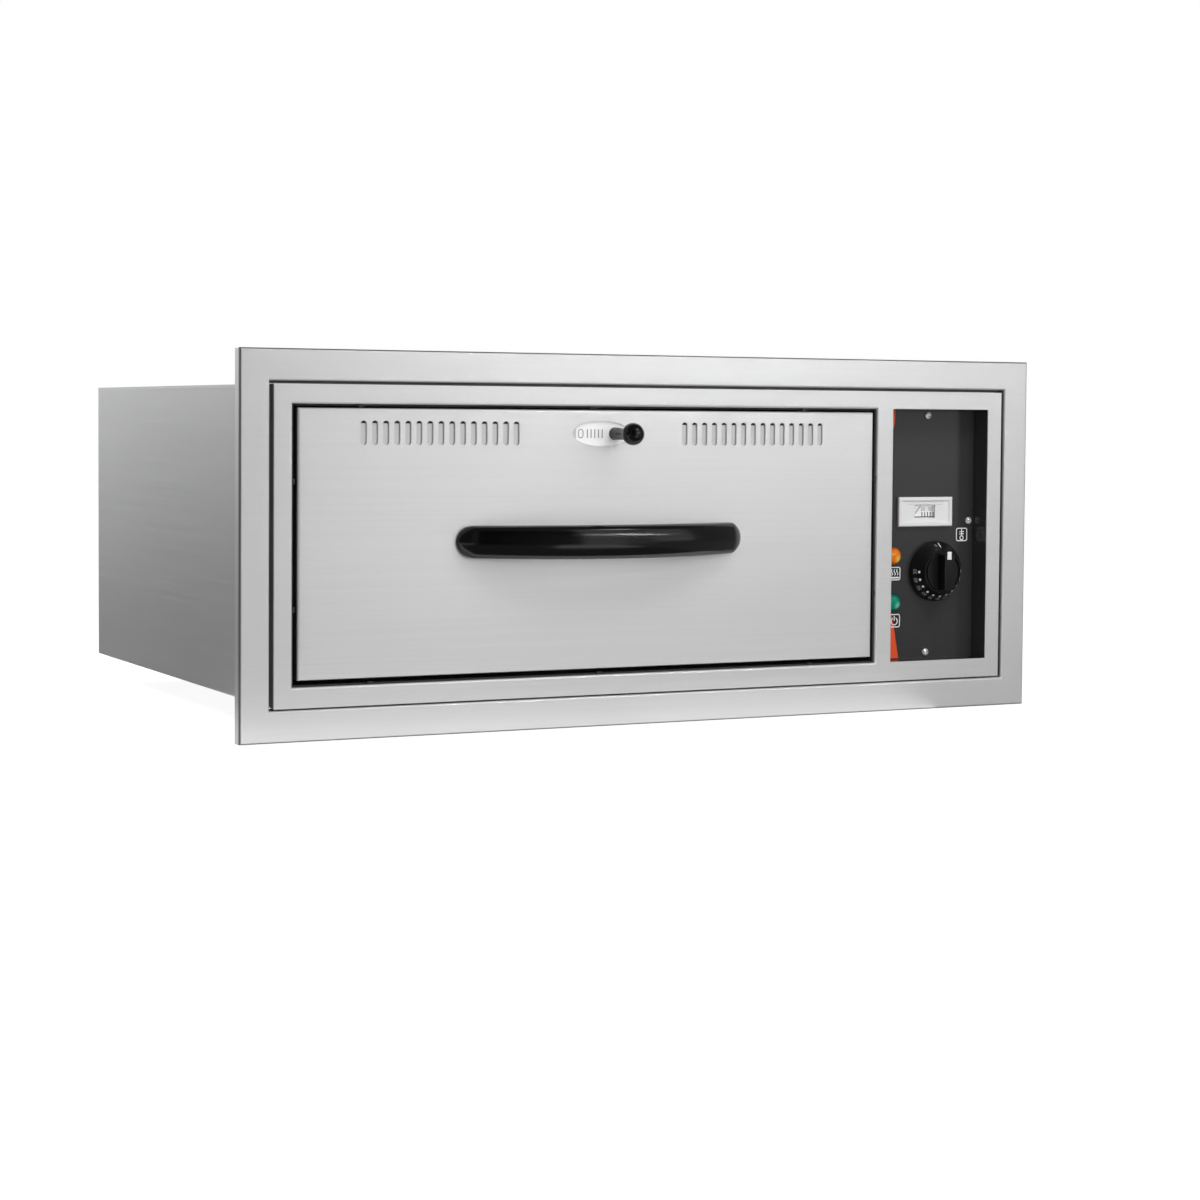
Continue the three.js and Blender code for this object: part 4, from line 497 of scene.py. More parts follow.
def dress(mesh, look):
    mesh.materials.append(MATERIALS[look])
    mesh.shade_smooth()
    mesh.set_sharp_from_angle(angle=SMOOTH_BELOW)


for look, names in NODE_LOOKS.items():
    for name in names:
        nodes[name].data.materials.clear()
        dress(nodes[name].data, look)


# ---- mesh helpers

SAME_POINT = 1e-7         # metres


def mesh_from(name, vertices, faces):
    mesh = bpy.data.meshes.new(name)
    mesh.from_pydata([tuple(v) for v in vertices], [], faces)
    work = bmesh.new()
    work.from_mesh(mesh)
    bmesh.ops.remove_doubles(work, verts=work.verts, dist=SAME_POINT)
    bmesh.ops.recalc_face_normals(work, faces=work.faces)
    work.to_mesh(mesh)
    work.free()
    mesh.update()
    return mesh


def make_piece(name, shape, body, look, replaces=()):
    """A piece from a mesh, or from lists of vertices and faces."""
    mesh = shape if isinstance(shape, bpy.types.Mesh) else mesh_from(name, *shape)
    piece = bpy.data.objects.new(name, mesh)
    bpy.context.scene.collection.objects.link(piece)
    dress(mesh, look)
    if replaces:
        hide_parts(*replaces)
    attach(piece, body)


def loft(rings, closed=False):
    """Vertices and faces through rings of points, with flat ends unless the rings close."""
    sides = len(rings[0])
    vertices = [point for ring in rings for point in ring]
    faces = []
    spans = len(rings) if closed else len(rings) - 1
    for r in range(spans):
        a = r * sides
        b = ((r + 1) % len(rings)) * sides
        faces += [(a + k, a + (k + 1) % sides, b + (k + 1) % sides, b + k) for k in range(sides)]
    if not closed:
        faces.append(tuple(reversed(range(sides))))
        faces.append(tuple(range((len(rings) - 1) * sides, len(rings) * sides)))
    return vertices, faces


def around(x, z, reach, turn, y):
    """A place at some reach from a line along Y."""
    return at(x + reach * math.cos(turn), y, z + reach * math.sin(turn))


def round_ring(x, z, radius, y, sides):
    return [around(x, z, radius, 2 * math.pi * k / sides, y) for k in range(sides)]


def turned(centre, profile, sides=64):
    """A turned solid about a line along Y. Profile points are (radius, y) on the drawing."""
    return loft([round_ring(*centre, max(radius, 0.001), y, sides) for radius, y in profile])


def merged(*parts):
    """Several vertex and face lists as one."""
    vertices, faces = [], []
    for part_vertices, part_faces in parts:
        base = len(vertices)
        vertices += list(part_vertices)
        faces += [tuple(base + i for i in face) for face in part_faces]
    return vertices, faces


def outline_plate(outline, front, back):
    """A flat plate through an outline of (x, z) points, between two depths."""
    return loft([[at(x, y, z) for x, z in outline] for y in (front, back)])


def circle(x, z, radius, sides=32, start=0.0, end=360.0):
    count = sides if start == 0.0 and end == 360.0 else sides + 1
    return [
        (x + radius * math.cos(a), z + radius * math.sin(a))
        for a in (math.radians(start + (end - start) * k / sides) for k in range(count))
    ]


def rounded_corners(x, z, half_width, half_height, radius, steps):
    """Four corner arcs about centres that lie so far from the middle."""
    points = []
    for sx, sz, start in ((1, 1, 0), (-1, 1, 90), (-1, -1, 180), (1, -1, 270)):
        centre = (x + sx * half_width, z + sz * half_height)
        points += circle(*centre, radius, steps, start, start + 90)
    return points


def stroke(points, width, closed=False):
    """Quads of a line of one width through (x, z) points, as separate outlines."""
    outlines = []
    pairs = list(zip(points, points[1:] + points[:1] if closed else points[1:]))
    for (x0, z0), (x1, z1) in pairs:
        along = Vector((x1 - x0, z1 - z0))
        if along.length < 1e-6:
            continue
        along.normalize()
        across = Vector((-along.y, along.x)) * width / 2
        lap = along * width * 0.2
        start = Vector((x0, z0)) - lap
        end = Vector((x1, z1)) + lap
        quad = (start + across, start - across, end - across, end + across)
        outlines.append([tuple(point) for point in quad])
    return outlines


PRINT_THICKNESS = 0.05
PRINT_CLEAR = 0.02
PRINT_STEP = 0.004        # between the strokes' faces, so that no two lie in one plane


def printed(name, outlines, surface_y, body, look):
    """Ink on a face that looks to the front: thin plates just proud of it."""
    back = surface_y - PRINT_CLEAR
    plates = []
    for layer, outline in enumerate(outlines):
        step = PRINT_STEP * (layer % 3)
        plates.append(outline_plate(outline, back - PRINT_THICKNESS - step, back))
    make_piece(name, merged(*plates), body, look)


DIGITS = {    # polylines on a grid 1 wide and 1.6 high
    "0": [circle(0.5, 1.1, 0.42, 10, 0, 180) + circle(0.5, 0.5, 0.42, 10, 180, 360)
          + [(0.92, 1.1)]],
    "1": [[(0.2, 1.25), (0.55, 1.55), (0.55, 0.05)]],
    "2": [circle(0.5, 1.13, 0.4, 8, 165, -35) + [(0.1, 0.06), (0.95, 0.06)]],
    "3": [circle(0.47, 1.17, 0.36, 8, 150, -90) + circle(0.47, 0.45, 0.4, 8, 90, -150)],
    "4": [[(0.72, 0.05), (0.72, 1.55), (0.08, 0.5), (0.98, 0.5)]],
    "5": [[(0.88, 1.54), (0.22, 1.54), (0.16, 0.88)] + circle(0.46, 0.5, 0.44, 8, 100, -150)],
    "6": [[(0.78, 1.5), (0.3, 1.05)] + circle(0.5, 0.47, 0.42, 14, 160, 520)],
    "7": [[(0.06, 1.54), (0.94, 1.54), (0.4, 0.05)]],
    "8": [circle(0.5, 1.16, 0.36, 12, 90, 450), circle(0.5, 0.44, 0.42, 12, 90, 450)],
    "9": [[(0.24, 0.1), (0.72, 0.55)] + circle(0.5, 1.13, 0.42, 14, -20, 340)],
}


def number_outlines(text, x, z, height, width_share=0.14):
    """Outlines of a number centred on a place."""
    unit = height / 1.6
    pitch = unit * 1.28
    start = x - (len(text) * pitch - 0.28 * unit) / 2
    outlines = []
    for i, character in enumerate(text):
        for line in DIGITS[character]:
            points = [(start + i * pitch + u * unit, z - height / 2 + v * unit) for u, v in line]
            outlines += stroke(points, height * width_share)
    return outlines


# ---- drawer front

SLOT_COUNT = 15
SLOT_PITCH = 10.24
SLOT_WIDTH = 4.2
SLOT_EDGE = 1.2           # by which the slots open out at the skin's front
SLOT_HEIGHT = 20.9
SLOT_BELOW_EDGE = 21.05
ROW_OFFSET = 155.6
WINDOW = (58.0, 22.0)
SHEET = 1.2
PUNCH_ROUNDING = 0.16     # of the edges of punched holes
FOLD_LAP = 5.0            # from the drawer front's edge to where the flat face starts
FOLD_RADIUS = 1.9
DOOR_FLANGE = 10.0

door_low, door_high = drawn_box("drawer_front")
door_x = (door_low.x + door_high.x) / 2
slot_z = door_high.z - SLOT_BELOW_EDGE
plate_low, plate_high = drawn_box("damper_plate")


def obround(x, z, width, height, steps=10):
    half = width / 2
    rise = height / 2 - half
    return circle(x, z + rise, half, steps, 0, 180) + circle(x, z - rise, half, steps, 180, 360)


def slot_rows(width, shift=0.0):
    rows = []
    for side in (-1, 1):
        for i in range(SLOT_COUNT):
            from_middle = (i - (SLOT_COUNT - 1) / 2) * SLOT_PITCH
            x = door_x + side * ROW_OFFSET + from_middle + shift
            rows.append(obround(x, slot_z, width, SLOT_HEIGHT))
    return rows


def ellipse(x, z, width, height, steps=72):
    angles = (2 * math.pi * k / steps for k in range(steps))
    return [(x + width / 2 * math.cos(a), z + height / 2 * math.sin(a)) for a in angles]


def rectangle(x0, x1, z0, z1):
    return [(x0, z0), (x1, z0), (x1, z1), (x0, z1)]


def punched_plate(name, outline, holes, front, back):
    """Sheet with holes: a filled flat curve given its thickness and finely rounded edges."""
    curve = bpy.data.curves.new(name, "CURVE")
    curve.dimensions = "2D"
    curve.fill_mode = "BOTH"
    curve.extrude = ((back - front) / 2 - PUNCH_ROUNDING) * MM
    curve.bevel_depth = PUNCH_ROUNDING * MM
    curve.bevel_resolution = 2
    curve.offset = -PUNCH_ROUNDING * MM
    for line in [outline, *holes]:
        spline = curve.splines.new("POLY")
        spline.points.add(len(line) - 1)
        for point, (x, z) in zip(spline.points, line):
            point.co = (x * MM, z * MM, 0, 1)
        spline.use_cyclic_u = True
    source = bpy.data.objects.new(name + ".outline", curve)
    bpy.context.scene.collection.objects.link(source)
    graph = bpy.context.evaluated_depsgraph_get()
    mesh = bpy.data.meshes.new_from_object(source.evaluated_get(graph))
    bpy.data.objects.remove(source)
    stand = Matrix.Translation(at(0, (front + back) / 2, 0)) @ Matrix.Rotation(math.pi / 2, 4, "X")
    mesh.transform(stand)
    mesh.name = name
    return mesh


def join_meshes(name, *meshes):
    work = bmesh.new()
    for mesh in meshes:
        work.from_mesh(mesh)
    result = bpy.data.meshes.new(name)
    work.to_mesh(result)
    work.free()
    return result


def folded_rim(low, high, section):
    """A rim folded round a rectangle, mitred; section points are (inset, depth)."""
    rings = []
    for inset, y in section:
        x0, x1 = low.x + inset, high.x - inset
        z0, z1 = low.z + inset, high.z - inset
        rings.append([at(x, y, z) for x, z in rectangle(x0, x1, z0, z1)])
    return loft(rings, closed=True)


def fold_section(depth, steps=10):
    """Section of the drawer front's edge: face, rounded bend, side, bend and flange."""
    middle = SHEET / 2
    corners = [(FOLD_LAP, middle), (middle, middle), (middle, depth - middle),
               (DOOR_FLANGE, depth - middle)]
    path = [Vector(corners[0])]
    for before, corner, after in zip(corners, corners[1:], corners[2:]):
        corner = Vector(corner)
        back = (Vector(before) - corner).normalized()
        on = (Vector(after) - corner).normalized()
        centre = corner + (back + on) * FOLD_RADIUS
        for k in range(steps + 1):
            turn = math.pi / 2 * k / steps
            path.append(centre - on * FOLD_RADIUS * math.cos(turn)
                        - back * FOLD_RADIUS * math.sin(turn))
    path.append(Vector(corners[-1]))
    outer, inner = [], []
    for i, point in enumerate(path):
        before = (point - path[max(i - 1, 0)]).normalized()
        after = (path[min(i + 1, len(path) - 1)] - point).normalized()
        along = (before + after).normalized()
        side = Vector((-along.y, along.x)) * SHEET / 2 / max(along.dot(before), along.dot(after))
        outer.append(point + side)
        inner.append(point - side)
    return [(p.x, p.y) for p in outer + inner[::-1]]


def make_drawer_front():
    inner = [door_low.x + FOLD_LAP, door_high.x - FOLD_LAP,
             door_low.z + FOLD_LAP, door_high.z - FOLD_LAP]
    holes = [*slot_rows(SLOT_WIDTH + SLOT_EDGE), ellipse(door_x, slot_z, *WINDOW)]
    face = punched_plate("drawer_face", rectangle(*inner), holes, 0, SHEET)
    rim = mesh_from("drawer_rim", *folded_rim(door_low, door_high, fold_section(door_high.y)))
    mesh = join_meshes("drawer_front_skin", face, rim)
    make_piece("drawer_front_skin", mesh, "drawer", "front", ["drawer_front"])


SHADE_STRIP_DROP = 2.2           # of the black strips' lower edges, below the slots' upper ends
SHADE_STRIP_DEPTHS = (SHEET + 0.05, SHEET + 0.5)


def make_slot_shade_strips():
    """Black strips behind the upper ends of both slot rows: painted shade under the slots' upper
    edges.
    """
    half_row = (SLOT_COUNT - 1) / 2 * SLOT_PITCH + SLOT_WIDTH
    foot = slot_z + SLOT_HEIGHT / 2 - SHADE_STRIP_DROP
    for side, name in ((-1, "slot_shade_strip_left"), (1, "slot_shade_strip_right")):
        x = door_x + side * ROW_OFFSET
        outline = rectangle(x - half_row, x + half_row, foot, plate_high.z)
        make_piece(name, outline_plate(outline, *SHADE_STRIP_DEPTHS), "drawer", "rubber")


LAND_RISE = 1.3           # of the pressed land, in front of the damper plate's edges
LAND_END = 2.0
LAND_EDGE = 2.2
DAMPER_PITCHES = 2.5      # by which the plate's slots are off the skin's when shut
land_face = plate_low.y - LAND_RISE


def make_damper_plate():
    """The sheet and the land pressed in it, with the same slots in both."""
    slots = slot_rows(SLOT_WIDTH, DAMPER_PITCHES * SLOT_PITCH)
    for name, end, edge, front, back, replaces in (
            ("damper_sheet", 0.0, 0.0, plate_low.y, plate_high.y, ["damper_plate"]),
            ("damper_land", LAND_END, LAND_EDGE, land_face, plate_low.y, ())):
        outline = rectangle(plate_low.x + end, plate_high.x - end,
                            plate_low.z + edge, plate_high.z - edge)
        mesh = punched_plate(name, outline, slots, front, back)
        make_piece(name, mesh, "damper", "damper", replaces)


# ---- handle and ball knob

HANDLE_HEIGHT = 30.0
HANDLE_END_HEIGHT = 28.0
HANDLE_END_DEPTH = 9.0
HANDLE_THICKNESS = 12.0
HANDLE_FOOT = 24.0
HANDLE_EDGE = 4.5
HANDLE_CROWN = 3.7        # how far the front face's long edges lie behind its middle
HANDLE_STATIONS = 120

handle_x, handle_z, handle_half, handle_front, _ = placed("handle")


def arch(x, half, sagitta, peak):
    radius = (half ** 2 + sagitta ** 2) / (2 * sagitta)
    return math.sqrt(max(radius ** 2 - x ** 2, 0.0)) - radius + peak


def handle_ring(x, outer, inner, half_height, steps=7):
    """Section at one x: crowned front face, large front radii and small rear ones."""
    depth = outer - inner
    radius = min(HANDLE_EDGE, depth * 0.45, half_height * 0.9)
    rear = min(radius, 1.5)
    crown = min(HANDLE_CROWN, depth * 0.31)
    centres = [
        (-outer + radius, half_height - radius, radius, 90),
        (-outer + radius, -half_height + radius, radius, 180),
        (-inner - rear, -half_height + rear, rear, 270),
        (-inner - rear, half_height - rear, rear, 0),
    ]
    ring = []
    for i, (y, z, r, start) in enumerate(centres):
        ring += circle(y, z, r, steps, start, start + 90)
        if i == 0:
            ring += [(-outer, (half_height - radius) * (1 - 2 * k / 8)) for k in range(1, 8)]
    points = []
    for y, z in ring:
        bow = crown * (z / half_height) ** 2 if y < -outer + radius + 0.01 else 0
        points.append(at(handle_x + x, y + bow, handle_z + z))
    return points


def make_handle():
    half = handle_half
    projection = -handle_front
    back = 0.3
    inner_half = half - HANDLE_FOOT
    inner_rise = projection - HANDLE_THICKNESS
    rings = []
    for i in range(HANDLE_STATIONS + 1):
        x = -math.cos(math.pi * i / HANDLE_STATIONS) * half
        swell = 1 - (x / half) ** 2
        full = HANDLE_END_HEIGHT + (HANDLE_HEIGHT - HANDLE_END_HEIGHT) * swell
        from_end = min((half - abs(x)) / (HANDLE_END_HEIGHT / 2), 1)
        rounding = math.sqrt(from_end * (2 - from_end))
        height = max(full * rounding, 1.2)
        outer = arch(x, half, projection - HANDLE_END_DEPTH, projection)
        outer *= min(1, 0.25 + 0.75 * rounding)
        inner = arch(x, inner_half, inner_rise, inner_rise) if abs(x) < inner_half else 0.0
        rings.append(handle_ring(x, outer, inner + back, height / 2))
    make_piece("handle_bow", loft(rings), "drawer", "black_gloss", ["handle"])


def make_damper_knob():
    x, z, radius, front, back = placed("damper_knob")
    ball_y = front + radius
    neck = 6.0
    profile = []
    meets = math.degrees(math.asin(neck / radius))
    for k in range(33):
        angle = math.radians((180 - meets) * k / 32)
        profile.append((radius * math.sin(angle), ball_y - radius * math.cos(angle)))
    profile += [
        (neck * 0.95, profile[-1][1] + 1.2),
        (neck * 0.92, (ball_y + back) / 2 + 3), (neck * 0.94, back - 3), (neck, back - 1),
        (neck, back - 0.2), (neck - 0.3, back), (0, back),
    ]
    make_piece("vent_knob", turned((x, z), profile, 72), "damper", "ball_black",
               ["damper_knob"])


# ---- window marks of the damper

MARK_HEIGHT = 7.6
MARK_PITCH = 3.7
MARK_LINE = 0.8
SHUT_MARK_X = -72.0
SHUT_PLACES = (-10.5, 3.4)    # of a mark's figure and of its bars, from the mark's place
OPEN_PLACES = (21.5, 34.0)
FIGURE_LINE = 0.11            # of the figure's height
OPEN_BAR = 1.9


def vent_bars(x, filled):
    """A small picture of the vents: five bars, or five open slots."""
    outlines = []
    for i in range(5):
        centre = x + (i - 2) * MARK_PITCH
        half = MARK_HEIGHT / 2
        if filled:
            outlines += stroke([(centre, slot_z - half), (centre, slot_z + half)], MARK_LINE * 1.3)
        else:
            ring = obround(centre, slot_z, OPEN_BAR, MARK_HEIGHT - 0.6, 4)
            outlines += stroke(ring, MARK_LINE * 0.6, True)
    return outlines


LABEL_WIDTH = 78.0
LABEL_SHIFT = 11.0


def make_damper_marks():
    travel = joint("damper_slide")["range_m"][1] / MM
    marks = []
    for text, filled, x, (figure, bars) in (("0", True, SHUT_MARK_X, SHUT_PLACES),
                                            ("1", False, SHUT_MARK_X + travel, OPEN_PLACES)):
        marks += number_outlines(text, x + figure, slot_z, MARK_HEIGHT + 0.9, FIGURE_LINE)
        marks += vent_bars(x + bars, filled)
    middle = SHUT_MARK_X + travel / 2 + LABEL_SHIFT
    label = rectangle(middle - LABEL_WIDTH / 2, middle + LABEL_WIDTH / 2,
                      plate_low.z + LAND_EDGE, plate_high.z - LAND_EDGE)
    printed("damper_label", [label], land_face, "damper", "damper_label")
    printed("damper_marks", marks, land_face - PRINT_CLEAR, "damper", "ink_grey")


# ---- thermostat knob

KNOB_X, KNOB_Z, KNOB_RADIUS, knob_front, KNOB_BACK = placed("thermostat_knob")
KNOB_FACE_RADIUS = 21.0
GROOVE_INNER = 17.6       # of the groove round the knob's face
GROOVE_OUTER = 19.4
GROOVE_DEPTH = 1.8
KNOB_WALL = 2.5
KNOB_RIM = 2.0
GRIP_WIDTH = 11.8
GRIP_HEIGHT = 12.0
GRIP_ROUNDING = 1.1
KNOB_FACE = knob_front + GRIP_HEIGHT
CONE_TOP = (KNOB_FACE_RADIUS, KNOB_FACE + 1.1)
CONE_FOOT = (KNOB_RADIUS - 0.3, KNOB_BACK - KNOB_RIM - 0.4)


def make_knob_cap():
    inner = KNOB_FACE_RADIUS - KNOB_WALL
    profile = [
        (0, KNOB_FACE), (GROOVE_INNER - 0.3, KNOB_FACE), (GROOVE_INNER, KNOB_FACE + 0.3),
        (GROOVE_INNER, KNOB_FACE + GROOVE_DEPTH), (GROOVE_OUTER, KNOB_FACE + GROOVE_DEPTH),
        (GROOVE_OUTER, KNOB_FACE + 0.5), (GROOVE_OUTER + 0.3, KNOB_FACE + 0.15),
        (KNOB_FACE_RADIUS - 0.5, KNOB_FACE + 0.15), (KNOB_FACE_RADIUS - 0.15, KNOB_FACE + 0.5),
        CONE_TOP, CONE_FOOT,
        (KNOB_RADIUS - 0.08, CONE_FOOT[1] + 0.3), (KNOB_RADIUS, CONE_FOOT[1] + 0.8),
        (KNOB_RADIUS, KNOB_BACK - 0.4), (KNOB_RADIUS - 0.4, KNOB_BACK),
        (KNOB_RADIUS - KNOB_WALL, KNOB_BACK),
        (inner, KNOB_FACE + KNOB_WALL), (0, KNOB_FACE + KNOB_WALL),
    ]
    return turned((KNOB_X, KNOB_Z), profile, 128)


def grip_outline(inset, steps=10):
    """The bar seen from the front: straight sides, ends on the face's circle."""
    half = GRIP_WIDTH / 2 - inset
    reach = GROOVE_INNER + 0.2 - inset
    spread = math.degrees(math.asin(half / reach))
    return [point for end in (270, 90)
            for point in circle(KNOB_X, KNOB_Z, reach, steps, end - spread, end + spread)]


def make_grip():
    front = KNOB_FACE - GRIP_HEIGHT
    levels = [(0.0, KNOB_FACE + 0.5), (0.0, front + GRIP_ROUNDING)]
    for k in range(1, 7):
        angle = math.pi / 2 * k / 6
        levels.append((GRIP_ROUNDING * (1 - math.cos(angle)),
                       front + GRIP_ROUNDING * (1 - math.sin(angle))))
    return loft([[at(x, y, z) for x, z in grip_outline(inset)] for inset, y in levels])


def make_thermostat_knob():
    make_piece("dial_knob", merged(make_knob_cap(), make_grip()), "knob",
               "knob_black", ["thermostat_knob"])


def on_cone(angle, across, along, lift=PRINT_CLEAR):
    """A place on the knob's cone: degrees round it, millimetres across and outward along it."""
    run = Vector(CONE_FOOT) - Vector(CONE_TOP)
    step = run.normalized()
    place = Vector(CONE_TOP) + step * along
    proud = Vector((step.y, -step.x)) * lift
    radius = place.x + proud.x
    turn = math.radians(angle) - across / place.x
    return around(KNOB_X, KNOB_Z, radius, turn, place.y + proud.y)


def cone_plate(outline, angle, along):
    return loft([[on_cone(angle, u, along + v, lift) for u, v in outline]
                 for lift in (PRINT_CLEAR + PRINT_THICKNESS, PRINT_CLEAR)])


DOT_COUNT = 11
DOT_STEP = 18.0
DOT_START = 180.0
DOT_ALONG = 5.0
DOT_RADIUS = 1.25
NUMBER_ALONG = 9.4
NUMBER_HEIGHT = 3.3
NUMBER_LINE = 0.16        # of the numbers' height
FIRST_NUMBER = 30
NUMBER_STEP = 10
OFF_LINE = [(0, 4.2), (0, 10.2)]          # across and along the cone
OFF_ANGLE = 90
ZERO_ANGLE = 99
ZERO_RISE = 2.0                           # of the 0, towards the face
POINTER_BLOCK = (-3.2, 1.5, 12.4, 20.0)   # left, right, foot and head, from the knob's middle


def make_knob_marks():
    dots, numbers = [], []
    for i in range(DOT_COUNT):
        angle = DOT_START + i * DOT_STEP
        dots.append(cone_plate(circle(0, 0, DOT_RADIUS, 16), angle, DOT_ALONG))
        text = str(FIRST_NUMBER + i * NUMBER_STEP)
        for outline in number_outlines(text, 0, 0, NUMBER_HEIGHT, NUMBER_LINE):
            numbers.append(cone_plate(outline, angle, NUMBER_ALONG))
    for outline in stroke(OFF_LINE, 1.0):
        dots.append(cone_plate(outline, OFF_ANGLE, 0))
    for outline in number_outlines("0", 0, 0, NUMBER_HEIGHT, NUMBER_LINE):
        numbers.append(cone_plate(outline, ZERO_ANGLE, NUMBER_ALONG - ZERO_RISE))
    make_piece("knob_dots", merged(*dots), "knob", "ink_white")
    make_piece("knob_numbers", merged(*numbers), "knob", "ink_grey")
    left, right, foot, head = POINTER_BLOCK
    block = rectangle(KNOB_X + left, KNOB_X + right, KNOB_Z + foot, KNOB_Z + head)
    printed("knob_pointer", [block], KNOB_FACE - GRIP_HEIGHT, "knob", "ink_white")


# ---- pilot lamps

LAMP_RIM = 1.5
LAMP_SIDES = 72
LAMP_LEVELS = 14
FLUTES = 12
FLUTE_DEPTH = 0.16
POINT_RADIUS = 0.01       # of a dome's or a back's closed middle


def make_lamp(node, name, look):
    """Domed lens whose crown is cut into shallow facets."""
    x, z, radius, front, back = placed(node)
    height = back - front
    rings = [round_ring(x, z, POINT_RADIUS, front, LAMP_SIDES)]
    for level in range(1, LAMP_LEVELS + 1):
        angle = math.pi / 2 * level / LAMP_LEVELS
        y = back - LAMP_RIM - (height - LAMP_RIM) * math.cos(angle)
        ring = []
        for k in range(LAMP_SIDES):
            turn = 2 * math.pi * k / LAMP_SIDES
            wave = (1 - math.cos(turn * FLUTES)) / 2
            flute = FLUTE_DEPTH * math.sin(angle) * math.cos(angle) * wave
            reach = radius * math.sin(angle) - flute
            ring.append(around(x, z, reach, turn, y + flute))
        rings.append(ring)
    for reach, y in ((radius, back - 0.3), (radius - 0.3, back), (POINT_RADIUS, back)):
        rings.append(round_ring(x, z, reach, y, LAMP_SIDES))
    make_piece(name, loft(rings), "cabinet", look, [node])


# ---- screws

SCREW_LEVELS = 22
BLADE_SHARE = 0.17        # of the head's radius
REACH_SHARE = 0.62
RECESS_SHARE = 0.75       # of the head's height
SHANK_RADIUS = 1.8


def cross_screw(x, z, seat, radius, head, sides=48):
    """Domed head on a Y axis with a cross recess, as one closed mesh."""
    blade = radius * BLADE_SHARE
    reach = radius * REACH_SHARE
    depth = head * RECESS_SHARE
    rings = []
    for level in range(SCREW_LEVELS + 1):
        r = max(radius * level / SCREW_LEVELS, POINT_RADIUS)
        ring = []
        for k in range(sides):
            a = 2 * math.pi * k / sides
            u, v = r * math.cos(a), r * math.sin(a)
            dome = head * math.sqrt(max(1 - (r / radius) ** 2 * 0.86, 0)) ** 1.1
            inside = (abs(u) < blade or abs(v) < blade) and r < reach
            y = seat - dome + (depth * (1 - 0.35 * r / reach) if inside else 0)
            ring.append(at(x + u, min(y, seat - 0.05), z + v))
        rings.append(ring)
    return loft([*rings, round_ring(x, z, radius, seat, sides)])


def make_panel_screws():
    seat = placed("thermometer_bezel")[4]
    for side in ("top", "bottom", "left", "right"):
        node = f"panel_screw_{side}"
        x, z, radius, front, back = placed(node)
        head = cross_screw(x, z, seat, radius, seat - front)
        shank = turned((x, z), [(0, seat), (SHANK_RADIUS, seat), (SHANK_RADIUS, back - 1.5),
                                (0, back)], 24)
        make_piece(node + "_head", merged(head, shank), "cabinet", "screw", [node])


# ---- thermometer

METER_ARC_Z = 196.0
BEZEL_STEP = 1.75         # of the mask behind the bezel's front
SCALE_START = 1.4         # from the dial's middle
SCALE_TICKS = 5
SCALE_PITCH = 3.2
SCALE_FOOT = -5.4
SCALE_WIDTH = 22.6
NEEDLE_WIDTH = 0.6
NEEDLE_HUB = 1.5


def make_needle():
    """Slim needle with a round hub, pointing as the drawn pointer does at rest."""
    low, high = drawn_box("thermometer_pointer")
    pivot = drawn(joint("thermometer_swing")["pos_m"])
    tip = Vector((low.x + 0.3, low.z + 0.3))
    along = (tip - Vector((pivot.x, pivot.z))).normalized() * NEEDLE_HUB * 0.8
    shaft = stroke([(pivot.x + along.x, pivot.z + along.y), tuple(tip)], NEEDLE_WIDTH)[0]
    blade = outline_plate(shaft, low.y + 0.3, low.y + 0.7)
    front, back = low.y + 0.05, high.y - 0.05
    profile = [(0, front), (NEEDLE_HUB - 0.2, front), (NEEDLE_HUB, low.y + 0.25),
               (NEEDLE_HUB, back), (0, back)]
    hub = turned((pivot.x, pivot.z), profile, 32)
    make_piece("needle", merged(blade, hub), "pointer", "ink_grey",
               ["thermometer_pointer"])


def make_thermometer_marks():
    x, z, _, bezel_front, _ = placed("thermometer_bezel")
    card_face = drawn_box("thermometer_dial")[1].y - 1.0
    foot = z + SCALE_FOOT
    right = x + SCALE_START + SCALE_PITCH * SCALE_TICKS - 1.4
    # the line along the scale's foot is its base line and also paints the shadow of the window's
    # lower edge; the upright line at its right end paints the shadow of the window's right edge
    lines = stroke([(right - SCALE_WIDTH, foot), (right, foot), (right, z + 6.4)], 1.1)
    lines += stroke([(right - SCALE_WIDTH, z + 5.9), (right, z + 5.9)], 0.4)
    for i in range(SCALE_TICKS):
        tick_x = x + SCALE_START + i * SCALE_PITCH
        lines += stroke([(tick_x, foot), (tick_x, foot + 4.4)], 1.1)
    numbers = number_outlines("30", x + SCALE_START + 0.9, z + 2.2, 3.4, 0.13)
    numbers += number_outlines("90", x + SCALE_START + 9.6, z + 2.2, 3.4, 0.13)
    printed("dial_ticks", lines, card_face, "cabinet", "ink_dark")
    printed("dial_numbers", numbers, card_face, "cabinet", "ink_grey")
    # a thin grey arc on the bezel: painted shade along a moulded line
    sweep = [(x - 20 + 42 * k / 16, METER_ARC_Z - 1.2 + 1.1 * (2 * k / 16 - 1) ** 2)
             for k in range(17)]
    printed("bezel_arc", stroke(sweep, 0.4), bezel_front + BEZEL_STEP, "cabinet",
            "painted_arc_shade")


# ---- printed panel

PANEL_SEAT = 0.3          # between the bezel's back and the panel
ICON_SIDE = 13.0
ICON_LINE = 0.95
ICON_CORNER = 1.6
HEAT_PLACE = (265.9, 129.2)
POWER_PLACE = (266.0, 83.7)
METER_PLACE = (342.7, 165.9)
BAND_MARGIN = 7.4         # from the panel's left edge
BAND_FOOT = 47.4
BAND_HEAD = 287.6
BAND_EDGE = [(271.0, BAND_FOOT), (265.6, 77.6), (262.2, 91.0), (256.5, 116.0), (256.5, 250.0),
             (264.0, 273.2), (264.6, BAND_HEAD)]


